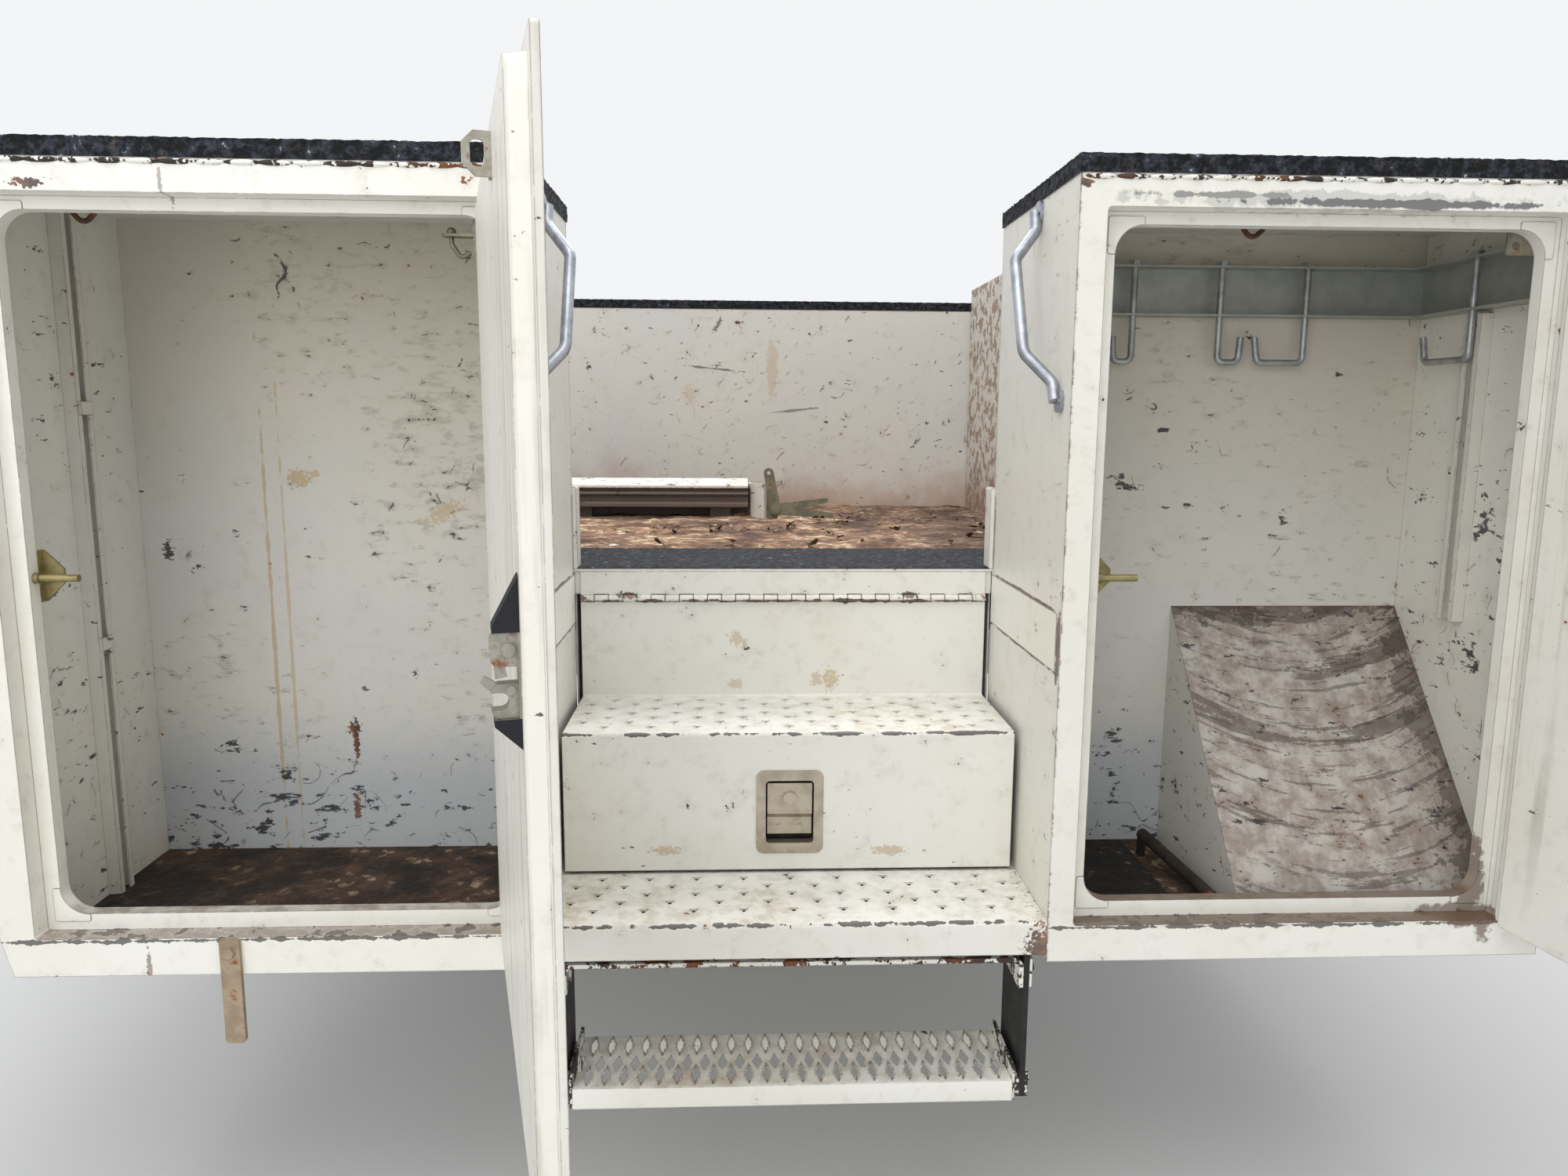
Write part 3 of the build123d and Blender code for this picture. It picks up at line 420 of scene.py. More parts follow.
# %% [markdown]
# ## Paint, the finish of nearly everything here
#
# All the painted sheets share one recipe: an off-white gloss paint that has yellowed in broad
# clouds, grey rub marks, fine brown scratches, black dashes, chips that show primer and rust,
# brown dust on what faces up, and slight waves in the gloss. What changes from piece to piece is
# how dirty it is and which way things rubbed along it. So the recipe is one function with plain-
# word settings.

# %% Colours of the paint and its wear
PAINT_WHITE = rgb(238, 237, 230)
PAINT_YELLOWED = rgb(227, 221, 203)
SCUFF_DARK = rgb(44, 46, 52)
RUB_GREY = rgb(128, 122, 112)
SCRATCH_BROWN = rgb(104, 86, 70)
GRIME_BROWN = rgb(112, 90, 70)
STAIN_TAN = rgb(186, 158, 108)
RUST_DARK = rgb(66, 42, 30)
RUST_LIGHT = rgb(136, 86, 54)
CHIP_DARK = rgb(58, 52, 48)

# name, scale and detail of the shared clouds; the border of a mark under SMALL_MARK frays in grit
CLOUDS = [("broad", 2.3, 4.0), ("fine", 27.0, 4.0), ("grit", 150.0, 2.0)]
CLOUD_ROUGHNESS = 0.66
SMALL_MARK = 0.07


def start_material(name):
    """Material with a Principled shader; at holds the places and clouds that its patterns share."""
    material = bpy.data.materials.new(name)
    material.use_nodes = True
    current.tree = material.node_tree
    coordinates = put("TexCoord").outputs
    place = coordinates["Object"]
    x, y, z = put("SeparateXYZ", Vector=place).outputs
    facing_up = put("SeparateXYZ", Vector=coordinates["Normal"]).outputs["Z"]
    at = SimpleNamespace(place=place, x=x, y=y, z=z, height=minus(z, BODY_BOTTOM),
                         faces_up=ramp(facing_up, 0.5, 0.9))
    for cloud, scale, detail in CLOUDS:
        setattr(at, cloud, noise(place, scale, detail, CLOUD_ROUGHNESS))
    return material, current.tree.nodes["Principled BSDF"], at


def rust_colour(at):
    """Rust that goes from dark brown to orange in small clouds."""
    return mix_colour(ramp(at.fine, 0.42, 0.66), RUST_DARK, RUST_LIGHT)


def tint(mask, share, colour, other):
    """Covers a colour with another where a mask says so, by a share at most."""
    return mix_colour(times(mask, share), colour, other)


def listed_marks(at, table, across="x", softness=0.0):
    """Marks of a table, on a wall that runs along x or y. Each row gives the place along the wall,
    the height over the body's bottom, both half sizes, the lean and the strength."""
    on_x = across == "x"
    turn = {"rotation_type": "Y_AXIS" if on_x else "X_AXIS"}

    def on_wall(along, up):
        return Vector((along, 0, up) if on_x else (0, along, up))

    total = None
    for along, up, half_along, half_up, lean, strength in table:
        middle = on_wall(along if on_x else along + FACE_Y, up + BODY_BOTTOM)
        stretch = on_wall(1 / half_along, 1 / half_up)
        place = at.place
        if lean:
            place = put("VectorRotate", turn, Vector=place, Center=middle, Angle=lean).outputs[0]
        ragged = at.grit if max(half_along, half_up) < SMALL_MARK else at.fine
        mask = use("Mark", Vector=place, Stretch=stretch, Shift=-stretch * middle, Ragged=ragged,
                   Softness=softness, Strength=strength)["Mask"]
        total = highest(total, mask) if total else mask
    return total


print("rust, chips and stains have their colours")

# %% [markdown]
# The recipe lays one effect over the other in the order in which they happened to the real paint:
# it yellowed, was rubbed and scratched, got its own marks, and chipped and rusted last. A piece may
# hand in a function that adds its own marks in the middle.

# %% Recipe: weathered paint
def paint(name, white=PAINT_WHITE, yellow=0.4, squeeze=(0.7, 0.7, 1.9), rubs=0.25, scratches=0.3,
          density=0.0, chips=0.5, rust=0.2, ledges=0.4, gloss=0.30, own_marks=None):
    """Weathered gloss paint. density, a number or density(at), says how thick the black scuffs
    lie; own_marks(at, colour) may add the marks of one piece."""
    material, shader, at = start_material(name)
    yellowed = times(ramp(at.broad, 0.36, 0.68), yellow)
    colour = mix_colour(yellowed, white, PAINT_YELLOWED)
    colour = mix_colour(ramp(at.fine, 0.50, 0.80, 0.0, 0.30), colour, rgb(172, 164, 148))
    thick = density(at) if callable(density) else density
    scuffs = use("Scuffs", Vector=at.place, Squeeze=squeeze, Broad=at.broad, Grit=at.grit,
                 Amount=rubs, Density=thick)
    colour = tint(scuffs["Smear"], 0.45, colour, RUB_GREY)
    lines = use("Hair lines", Vector=at.place, Broad=at.broad, Fine=at.fine, Amount=scratches,
                Density=thick)
    colour = tint(lines["Brown"], 0.6, colour, SCRATCH_BROWN)
    if own_marks:
        colour = own_marks(at, colour)
    if thick:
        colour = tint(highest(scuffs["Dash"], lines["Black"]), 0.93, colour, SCUFF_DARK)
    dusty = times(at.faces_up, ramp(at.fine, 0.38, 0.60))
    colour = tint(dusty, ledges, colour, GRIME_BROWN)
    edges = use("Chipped edges", Ragged=at.fine, Grit=at.grit, Broad=at.broad, Amount=chips)
    colour = tint(edges["Edge"], 0.25, colour, GRIME_BROWN)
    speckled = times_plus(minus(at.grit, 0.5), 0.35, at.fine)
    spots = use("Blotches", Cloud=speckled, Amount=rust, Softness=0.03)["Mask"]
    bare = highest(spots, edges["Mask"])
    flaked = mix_colour(ramp(at.broad, 0.46, 0.56), CHIP_DARK, rust_colour(at))
    colour = mix_colour(bare, colour, flaked)
    worn = highest(bare, times(scuffs["Smear"], 0.5))
    rough = times_plus(worn, 0.35, times_plus(at.fine, 0.2, gloss), clamp=True)
    bump = put("Bump", Strength=0.25, Distance=0.004, Height=noise(at.place, 7.0, 0.0),
               Normal=edges["Normal"])
    fill(shader, Base_Color=colour, Roughness=rough, Normal=bump.outputs[0])
    return material


print("recipe ready: weathered paint")

# %% [markdown]
# ## Metal finishes
#
# Bare metals are simpler: a metallic colour with grain. Zinc plating has a faint yellow tint,
# galvanised steel is a cloudy grey, brushed stainless has fine parallel lines, and rusty steel has
# almost no shine left.

# %% Recipe: bare metal
def metal(name, colour, other, grain=(1.0, 1.0, 30.0), roughness=0.38, dirt=0.25, shine=1.0,
          own_marks=None):
    """Bare metal with a tinted cloud pattern, a grain in one direction and some brown dirt."""
    material, shader, at = start_material(name)
    mixed = mix_colour(ramp(at.fine, 0.38, 0.62), colour, other)
    lines = noise(squeezed(at.place, grain), 20.0, 3.0, 0.6)
    grime = use("Blotches", Cloud=at.fine, Amount=dirt, Softness=0.12)["Mask"]
    mixed = mix_colour(grime, mixed, rust_colour(at))
    dull = grime
    if own_marks:
        mixed, dull = own_marks(at, mixed, grime)
    rough = times_plus(lines, 0.22, times_plus(dull, 0.35, roughness), clamp=True)
    metallic = times_plus(dull, -shine, shine, clamp=True)
    bump = put("Bump", Strength=0.25, Distance=0.0003, Height=lines)
    fill(shader, Base_Color=mixed, Roughness=rough, Metallic=metallic, Normal=bump.outputs[0])
    return material


print("recipe ready: bare metal")

# %% [markdown]
# ## Coating and dirt
#
# The non-slip coating is nearly black, with a painted blue-grey sheen on its high grains and a few
# bright specks where it has worn. Dirt is matt all over, and mixes rust scale, dust and litter by a
# cell pattern, because crumbs have edges where clouds have none.

# %% Recipe: coating and dirt
def coating(name):
    """Coarse black non-slip coating."""
    material, shader, at = start_material(name)
    grain = noise(at.place, 75.0, 4.0, 0.7)
    # painted sheen: the high grains are tinted blue-grey, the low ones near black
    colour = mix_colour(ramp(grain, 0.44, 0.62), rgb(13, 14, 17), rgb(52, 56, 66))
    colour = mix_colour(ramp(at.fine, 0.55, 0.80, 0.0, 0.35), colour, rgb(120, 108, 92))
    colour = mix_colour(ramp(grain, 0.66, 0.70), colour, rgb(176, 178, 180))
    bump = put("Bump", Strength=0.9, Distance=0.006, Height=grain)
    fill(shader, Base_Color=colour, Roughness=0.75, Specular_IOR_Level=0.25, Normal=bump.outputs[0])
    return material


def dirt(name, deep, middle, pale, scale=60.0, pale_share=0.3, shade=None):
    """Crumbly dirt of three colours; shade(at, colour) may paint shade over a part of it."""
    material, shader, at = start_material(name)
    crumbs = put("TexVoronoi", Vector=at.place, Scale=scale * 2)
    cloud = noise(at.place, scale * 0.18, 6.0, 0.72)
    colour = mix_colour(ramp(cloud, 0.38, 0.60), deep, middle)
    lit = put("SeparateXYZ", Vector=crumbs.outputs["Color"]).outputs[0]
    share = times(ramp(lit, 1 - pale_share, 1 - pale_share + 0.1), ramp(cloud, 0.46, 0.6))
    colour = mix_colour(share, colour, pale)
    colour = mix_colour(ramp(at.fine, 0.40, 0.60, 0.0, 0.5), colour, deep)
    if shade:
        colour = shade(at, colour)
    height = plus(crumbs.outputs["Distance"], at.fine)
    bump = put("Bump", Strength=0.7, Distance=0.004, Height=height)
    fill(shader, Base_Color=colour, Roughness=0.9, Normal=bump.outputs[0])
    return material


print("recipes ready: coating and dirt")

# %% [markdown]
# ## The cabinets' walls
#
# The back walls tell how the cabinets are used. In the rear one a leak left tan stains and two
# long drips, and boxes have blackened the lowest hand's breadth. In the front one, what hung on
# the hooks has left short dark scuffs. The walls beside the steps are cleaner, but rust creeps
# along the welded patches, and the wall behind the slanted housing has been knocked black in
# places.

# %% Marks on the walls
REAR_STAINS = [(-0.901, 0.736, 0.022, 0.018, 0.0, 1.0), (-0.872, 0.742, 0.012, 0.007, 0.3, 0.8),
               (-0.635, 0.674, 0.045, 0.016, 0.4, 0.7), (-0.963, 0.434, 0.0036, 0.480, 0.0, 0.9),
               (-0.932, 0.411, 0.0030, 0.460, 0.0, 0.7)]
REAR_RUST = [(-0.821, 0.236, 0.006, 0.045, 0.0, 1.0), (-0.823, 0.258, 0.014, 0.014, 0.0, 1.0),
             (-0.826, 0.100, 0.006, 0.036, 0.0, 0.9)]
BACK_SCUFFS = [(-0.850, 0.110, 0.420, 0.140, 0.0, 1.0), (-1.118, 0.600, 0.080, 0.080, 0.0, 1.1),
               (-1.020, 0.632, 0.080, 0.030, 0.0, 0.95), (-0.885, 0.605, 0.035, 0.070, 0.0, 1.0),
               (-0.750, 0.540, 0.050, 0.040, 0.6, 0.85), (-1.150, 0.760, 0.080, 0.120, 0.0, 0.7),
               (-1.060, 0.220, 0.120, 0.030, 0.0, 1.1), (-0.720, 0.360, 0.180, 0.060, 0.3, 0.8),
               (0.660, 0.735, 0.080, 0.050, 0.0, 1.25), (0.800, 0.802, 0.060, 0.018, 0.0, 1.25),
               (0.790, 0.690, 0.140, 0.030, 0.2, 0.9), (0.720, 0.860, 0.120, 0.060, 0.0, 0.75),
               (0.650, 0.220, 0.090, 0.160, 0.0, 1.0), (0.980, 0.660, 0.200, 0.080, 0.0, 0.7)]
SIDE_SCUFFS = [(0.255, 0.440, 0.160, 0.100, 0.0, 1.15), (0.230, 0.700, 0.090, 0.080, 0.0, 1.05),
               (0.165, 0.600, 0.050, 0.120, 0.0, 1.0), (0.200, 0.280, 0.090, 0.080, 0.0, 0.9)]
SEAM_RUST = [(0.240, 0.559, 0.260, 0.0035, 0.0, 1.0), (0.240, 0.464, 0.260, 0.0035, 0.0, 1.0),
             (0.012, 0.512, 0.010, 0.070, 0.0, 1.0), (0.130, 0.470, 0.080, 0.008, 0.0, 0.8),
             (0.446, 0.640, 0.008, 0.100, 0.0, 0.8)]
WALL_SLACK = 0.0015
CAB_END = 0.7


def beside_steps(at):
    """1 on the two walls that face the steps, 0 beyond them."""
    return is_under(size_of(at.x), STAIR_X + WALL_SLACK)


def back_wall_density(at):
    """Black scuffs lie thick near the floor and where boxes and hooks bump the back walls."""
    low = plus(ramp(at.height, 0.28, 0.06, 0.0, 0.45), times_plus(at.broad, 1.2, -0.25))
    return highest(low, listed_marks(at, BACK_SCUFFS, softness=0.8))


def end_wall_density(at):
    """Black behind the slanted housing at the cab end, clean beside the steps."""
    cab_end = is_over(at.x, STAIR_X + CAB_END)
    swept = times(listed_marks(at, SIDE_SCUFFS, "y", 0.8), cab_end)
    base = times(at.broad, times_plus(beside_steps(at), -0.6, 0.90))
    return highest(base, swept)


def back_wall_shading_and_marks(at, colour):
    """Painted light and shade: cream towards the top, painted cool shade towards the bottom, with
    stains, drips and rust in the rear cabinet.
    """
    # painted light and shade: the upper wall is tinted cream and the lower wall cool grey
    high = ramp(times_plus(at.broad, 0.5, at.height), 0.75, 1.35)
    colour = tint(high, 0.55, colour, rgb(204, 194, 172))
    low = ramp(times_plus(at.fine, 0.2, at.height), 0.42, 0.24)
    colour = tint(low, 0.5, colour, rgb(168, 178, 190))
    colour = tint(listed_marks(at, REAR_STAINS), 0.75, colour, STAIN_TAN)
    return tint(listed_marks(at, REAR_RUST), 1.0, colour, rust_colour(at))


def end_wall_marks(at, colour):
    """Rust along the welded patches beside the steps."""
    seams = times(listed_marks(at, SEAM_RUST, "y"), beside_steps(at))
    return tint(seams, 0.9, colour, rust_colour(at))


# the back walls' base white is darker than the faces' paint, as painted shade inside the cabinets
back_walls = paint("back_walls", white=rgb(208, 206, 200), yellow=0.3, squeeze=(0.60, 1.0, 1.5),
                   rubs=0.62, scratches=0.5, density=back_wall_density, rust=0.10, gloss=0.42,
                   own_marks=back_wall_shading_and_marks)
end_walls = paint("end_walls", white=rgb(228, 227, 221), yellow=0.4, rubs=0.45, scratches=0.4,
                  density=end_wall_density, chips=0.7, rust=0.12, own_marks=end_wall_marks)
print("walls ready:", back_walls.name, end_walls.name)

# %% [markdown]
# ## Faces, sills and doors
#
# Outside, the paint is glossy and fairly clean. Its wear sits at edges: black chips along the
# upright edges, a brown ledge where things are dragged over the sill, rust where the coating
# meets the paint, and a long dark scar over the front door's recess.

# %% Marks on the faces and doors
FACE_RUST = [(-1.060, 1.163, 0.024, 0.007, 0.0, 1.0), (-0.881, 1.194, 0.020, 0.005, 0.0, 1.0),
             (-0.883, 1.165, 0.003, 0.030, 0.0, 0.6), (-0.690, 1.192, 0.014, 0.004, 0.0, 0.9),
             (0.405, 1.183, 0.012, 0.008, 0.0, 1.0), (-0.990, 0.008, 0.004, 0.040, 0.0, 0.7)]
FACE_SCAR = [(0.780, 1.164, 0.330, 0.014, 0.0, 0.35), (0.860, 1.161, 0.260, 0.007, 0.0, 1.0),
             (0.600, 1.170, 0.110, 0.006, 0.0, 0.8)]
LEDGE_UP = 0.0565
SILL_BROWN = [(1.104, 0.110, 0.022, 0.100, 0.0, 1.0), (1.090, 0.062, 0.080, 0.014, 0.0, 0.9)]


def face_marks(at, colour):
    """Rust spots, the scar, the dragged sills and chips up the edges beside the steps."""
    sill = times(at.faces_up, ramp(at.height, 0.16, 0.10))
    ledge_edge = band(at.height, LEDGE_UP, 0.005, at.fine, 1.1)
    colour = tint(ramp(ledge_edge, 0.3, 0.5), 0.85, colour, CHIP_DARK)
    front = is_over(at.x, 0.0)
    dragged = times(sill, times_plus(front, 0.45, 0.4))
    colour = tint(dragged, 1.0, colour, rgb(104, 84, 68))
    colour = tint(listed_marks(at, FACE_SCAR), 0.85, colour, rgb(70, 72, 76))
    colour = tint(listed_marks(at, SILL_BROWN), 0.8, colour, GRIME_BROWN)
    beside = band(size_of(at.x), STAIR_X, 0.006, at.fine, 0.9)
    chipped = times(beside, ramp(at.fine, 0.50, 0.56))
    colour = tint(chipped, 0.9, colour, CHIP_DARK)
    return tint(listed_marks(at, FACE_RUST), 0.95, colour, rust_colour(at))


def door_marks(at, colour):
    """Thin upright streaks of grey dirt, as rain leaves them."""
    streak = noise(squeezed(at.place, (1.0, 1.0, 0.06)), 34.0, 3.0, 0.7)
    shown = times(ramp(streak, 0.50, 0.68), ramp(at.broad, 0.36, 0.60))
    return tint(shown, 0.38, colour, rgb(150, 144, 130))


faces = paint("faces", rubs=0.20, scratches=0.28, chips=0.78, rust=0.13, ledges=0.55,
              own_marks=face_marks)
doors = paint("doors", white=rgb(233, 231, 224), rubs=0.22, scratches=0.35, density=0.30,
              chips=0.62, rust=0.12, own_marks=door_marks)
print("outside ready:", faces.name, doors.name)

# %% [markdown]
# ## The steps
#
# Boots carry grit onto the treads and knock the paint off the noses. The noses are a ragged black
# line, rust runs along the hinge and the foot of the skirt, and a few tan stains have dried on the
# risers. The punched holes are painted dark below their rims, as painted shade inside them.

# %% Marks on the steps
RISER_STAINS = [(-0.213, 0.110, 0.028, 0.009, 0.0, 0.8), (0.176, 0.107, 0.032, 0.010, 0.0, 0.8),
                (0.090, 0.352, 0.016, 0.022, 0.0, 0.8), (0.062, 0.350, 0.012, 0.014, 0.0, 0.7),
                (-0.090, 0.430, 0.020, 0.014, -0.5, 0.7), (-0.092, 0.342, 0.016, 0.011, 0.0, 0.6)]
SKIRT_RUST = [(0.392, 0.020, 0.030, 0.040, 0.0, 1.0), (-0.392, 0.512, 0.024, 0.006, 0.0, 1.0),
              (0.392, 0.512, 0.020, 0.006, 0.0, 1.0), (-0.300, 0.517, 0.020, 0.006, 0.0, 0.9),
              (0.240, 0.517, 0.018, 0.006, 0.0, 0.9)]
NOSES = [(LOW_TREAD, 0.0), (MIDDLE_TREAD, LOWER_RISER_Y - FACE_Y)]
NOSE_BEND, NOSE_DOWN, NOSE_IN = 0.001, 0.0045, 0.007
RUST_LINES = [(0.506, 0.004), (0.003, 0.009)]
# below a tread: where a hole's painted shade starts, where it is full, and where the hole ends
HOLE_TOP, HOLE_DARK, HOLE_END = 0.0003, 0.0016, 0.012
TREAD_START = FACE_Y + 0.030
LOW_TREAD_END = LOWER_RISER_Y - 0.006
MIDDLE_TREAD_START = LOWER_RISER_Y + 0.020


def step_marks(at, colour):
    """Grit on the treads, stains on the risers, worn noses, rust along hinge and skirt, and painted
    shade in the treads' holes.
    """
    grit = times(at.faces_up, ramp(at.broad, 0.44, 0.66, 0.1, 0.6))
    colour = tint(times(grit, ramp(at.fine, 0.46, 0.60)), 0.5, colour, STAIN_TAN)
    riser = minus(1.0, at.faces_up)
    stains = times(listed_marks(at, RISER_STAINS), riser)
    colour = tint(stains, 0.7, colour, STAIN_TAN)
    colour = tint(listed_marks(at, SKIRT_RUST), 0.9, colour, rust_colour(at))
    for height, reach in RUST_LINES:
        line = band(at.height, height, reach, at.fine, 0.9)
        rusted = times(line, ramp(at.broad, 0.40, 0.56, 0.5, 1.0))
        colour = tint(ramp(rusted, 0.15, 0.45), 0.9, colour, rust_colour(at))
    for level, inwards in NOSES:
        upright = band(at.z, level - NOSE_BEND, NOSE_DOWN, at.fine, 1.0)
        level_part = band(at.y, FACE_Y + inwards, NOSE_IN, at.fine, 0.9)
        worn = times(upright, level_part)
        colour = tint(ramp(worn, 0.15, 0.25), 0.9, colour, CHIP_DARK)
    # painted shade: below each tread's top, the holes' rims and walls are painted near black
    painted_hole_shade = highest(*[times(ramp(at.z, level - HOLE_TOP, level - HOLE_DARK),
                           is_over(at.z, level - HOLE_END)) for level, _ in NOSES])
    in_tread = is_over(at.y, TREAD_START)
    on_low = is_under(at.y, LOW_TREAD_END)
    on_middle = is_over(at.y, MIDDLE_TREAD_START)
    on_tread = times(in_tread, highest(on_low, on_middle))
    return mix_colour(times(painted_hole_shade, on_tread), colour, rgb(22, 18, 16))


steps = paint("steps_white", yellow=0.35, rubs=0.18, scratches=0.35, density=0.26, chips=0.82,
              rust=0.15, ledges=0.12, own_marks=step_marks)
print("steps ready:", steps.name)

# %% [markdown]
# ## Far wall, cross box and slanted housing
#
# Cargo has dragged brown lines over the wall behind the deck, and red dirt clings to its foot.
# The cross box has rust spots on its side towards the deck. The slanted housing takes every bag
# that is thrown in: it is brown, with long dark arcs across.

# %% Marks on the far wall, the cross box and the housing
FAR_STAINS = [(0.022, 1.012, 0.020, 0.110, 0.0, 0.8), (-0.244, 0.930, 0.022, 0.040, 0.0, 0.6)]
FAR_DARK = [(-0.155, 1.147, 0.008, 0.026, -0.5, 0.9), (-0.160, 1.010, 0.090, 0.004, -0.1, 0.9),
            (0.100, 0.880, 0.080, 0.004, 0.1, 0.8)]
DRAG_TURN = 0.9
SWEEP = 1.1


def foot_dirt(at, reach, colour, earth):
    """Earth that clings to the foot of a wall on the deck."""
    return tint(band(at.z, DECK_TOP, reach, at.broad, 0.6), 0.6, colour, earth)


def far_wall_marks(at, colour):
    """Thin slanting brown drag lines, a tan stain and red dirt along the foot."""
    turned = put("VectorRotate", {"rotation_type": "Y_AXIS"}, Vector=at.place,
                 Angle=DRAG_TURN).outputs[0]
    lines = use("Scuffs", Vector=turned, Squeeze=(0.45, 1.0, 2.0), Scale=30.0, Broad=at.broad,
                Grit=at.grit, Density=0.38)
    colour = tint(lines["Dash"], 0.85, colour, rgb(88, 66, 50))
    colour = tint(listed_marks(at, FAR_STAINS), 0.6, colour, rgb(196, 166, 128))
    colour = tint(listed_marks(at, FAR_DARK), 0.8, colour, SCUFF_DARK)
    return foot_dirt(at, 0.15, colour, rgb(176, 128, 98))


def cross_box_marks(at, colour):
    """Rust spots on the side towards the deck and red dirt at its foot."""
    side = band(at.x, BOX_REAR_X, 0.02, at.fine, 0.5)
    spots = times(side, ramp(at.fine, 0.50, 0.55))
    colour = tint(spots, 0.8, colour, rust_colour(at))
    return foot_dirt(at, 0.12, colour, rgb(150, 108, 84))


def housing_marks(at, colour):
    """Brown grime on the slope, long sagging dark arcs and a flaked edge beside the wall."""
    low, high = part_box("outrigger_housing")
    slope = ramp(at.faces_up, 0.02, 0.3)
    cloud = ramp(at.fine, 0.34, 0.62, 0.45, 1.0)
    colour = tint(times(slope, cloud), 0.85, colour, rgb(122, 100, 86))
    across = minus(at.x, (low.x + high.x) / 2)
    sagging = times(times(across, across), -SWEEP)
    swept = put("CombineXYZ", X=at.x, Y=at.y, Z=plus(at.z, sagging)).outputs[0]
    for scale, density, darkness in ((9.0, 0.95, 0.75), (21.0, 0.88, 0.7)):
        arcs = use("Scuffs", Vector=swept, Squeeze=(0.30, 0.05, 3.4), Scale=scale, Broad=at.broad,
                   Grit=at.grit, Density=density)["Dash"]
        colour = tint(times(arcs, slope), darkness, colour, rgb(60, 50, 46))
    for coordinate, place, reach in ((at.x, high.x, 0.07), (at.z, high.z, 0.035)):
        rim = band(coordinate, place, reach, at.fine, 1.0)
        colour = tint(times(ramp(rim, 0.25, 0.6), slope), 0.85, colour, rgb(62, 46, 38))
    return colour


far_wall = paint("far_wall", white=rgb(212, 210, 204), yellow=0.4, rubs=0.30, scratches=0.75,
                 density=0.40, rust=0.16, gloss=0.45, own_marks=far_wall_marks)
cross_box = paint("cross_box", white=rgb(216, 211, 200), yellow=0.5, rubs=0.3, density=0.10,
                  chips=0.4, rust=0.2, gloss=0.45, own_marks=cross_box_marks)
housing = paint("slanted_housing", white=rgb(212, 210, 204), rubs=0.5, scratches=0.4, density=0.52,
                chips=0.9, rust=0.2, ledges=0.5, gloss=0.5, own_marks=housing_marks)
print("inner pieces ready:", far_wall.name, cross_box.name, housing.name)

# %% [markdown]
# ## Small metal pieces
#
# The rotary latches have mottled zinc housings, and matt black guards above and below. One piece
# carries them all, so the guard's black is chosen by place: how far a point stands off the door's
# pan, and how high it is.

# %% Latches and the other metals
LATCH_GUARDS = [(0.669, 0.722), (0.560, 0.594)]
DOOR_HINGES = {"rear": (-0.4225, 105.0), "front": (1.1315, 99.0)}
HINGE_OUT = 0.005
GUARD_OUT = 0.02
RECESS_PALE, RECESS_DARK = LOWER_RISER_Y + 0.0150, LOWER_RISER_Y + 0.0200


def latch_finish(door):
    """Zinc with black guards for the latches of one open door."""
    hinge_x, angle = DOOR_HINGES[door]
    turn = math.radians(90 + angle)

    def guards(at, colour, dull):
        off_x = times(minus(at.x, hinge_x), math.cos(turn))
        off_y = times(minus(at.y, FACE_Y - HINGE_OUT), math.sin(turn))
        on_pan = is_over(plus(off_x, off_y), GUARD_OUT)
        for low, high in LATCH_GUARDS:
            between = times(is_over(at.height, low), is_under(at.height, high))
            guard = times(between, on_pan)
            colour = mix_colour(guard, colour, rgb(30, 31, 35))
            dull = highest(dull, guard)
        return colour, dull

    return metal(door + "_latch_zinc", rgb(150, 146, 132), rgb(178, 176, 166), roughness=0.42,
                 dirt=0.5, shine=0.75, own_marks=guards)


def recess_marks(at, colour, dull):
    """The deeper a part of the flush latch lies behind the riser, the darker and duller it is."""
    deep = ramp(at.y, RECESS_PALE, RECESS_DARK)
    hollow = times(deep, ramp(at.fine, 0.2, 0.5, 0.75, 1.0))
    colour = mix_colour(hollow, colour, rgb(44, 36, 30))
    return colour, highest(dull, times(hollow, 0.8))


zinc = metal("zinc_plate", rgb(132, 124, 88), rgb(164, 152, 108), roughness=0.4, dirt=0.42,
             shine=0.8)
grey_zinc = metal("grey_zinc", rgb(118, 116, 100), rgb(146, 142, 124), roughness=0.45, dirt=0.44,
                  shine=0.6)
galvanised = metal("galvanised_steel", rgb(160, 163, 157), rgb(172, 175, 169), grain=(1, 1, 1),
                   roughness=0.42, dirt=0.12, shine=0.35)
hook_steel = metal("hook_steel", rgb(146, 150, 150), rgb(176, 180, 180), grain=(1, 1, 4),
                   roughness=0.36, dirt=0.12, shine=0.75)
stainless = metal("brushed_stainless", rgb(172, 162, 146), rgb(194, 184, 168), grain=(1, 1, 40),
                  roughness=0.34, dirt=0.16, shine=0.9, own_marks=recess_marks)
bright = metal("bright_handle", rgb(150, 154, 162), rgb(178, 182, 190), grain=(4, 4, 1),
               roughness=0.32, dirt=0.16, shine=0.85)
rusty = metal("rusty_steel", rgb(84, 60, 44), rgb(116, 84, 60), roughness=0.7, dirt=0.6, shine=0.2)
weathered_bar = metal("weathered_bar", rgb(150, 132, 110), rgb(172, 154, 130), roughness=0.6,
                      dirt=0.42, shine=0.1)
dark_pipe = metal("dark_pipe", rgb(30, 26, 24), rgb(52, 42, 34), roughness=0.7, dirt=0.3, shine=0.1)
black = metal("black_undercoat", rgb(34, 34, 36), rgb(50, 48, 46), roughness=0.6, dirt=0.3,
              shine=0.0)
rubber = metal("strap_rubber", rgb(30, 30, 31), rgb(44, 42, 40), roughness=0.7, dirt=0.34,
               shine=0.0)
rusted_paint = paint("rusted_paint", rubs=0.4, scratches=0.4, chips=1.3, rust=0.58, ledges=0.7,
                     gloss=0.5)

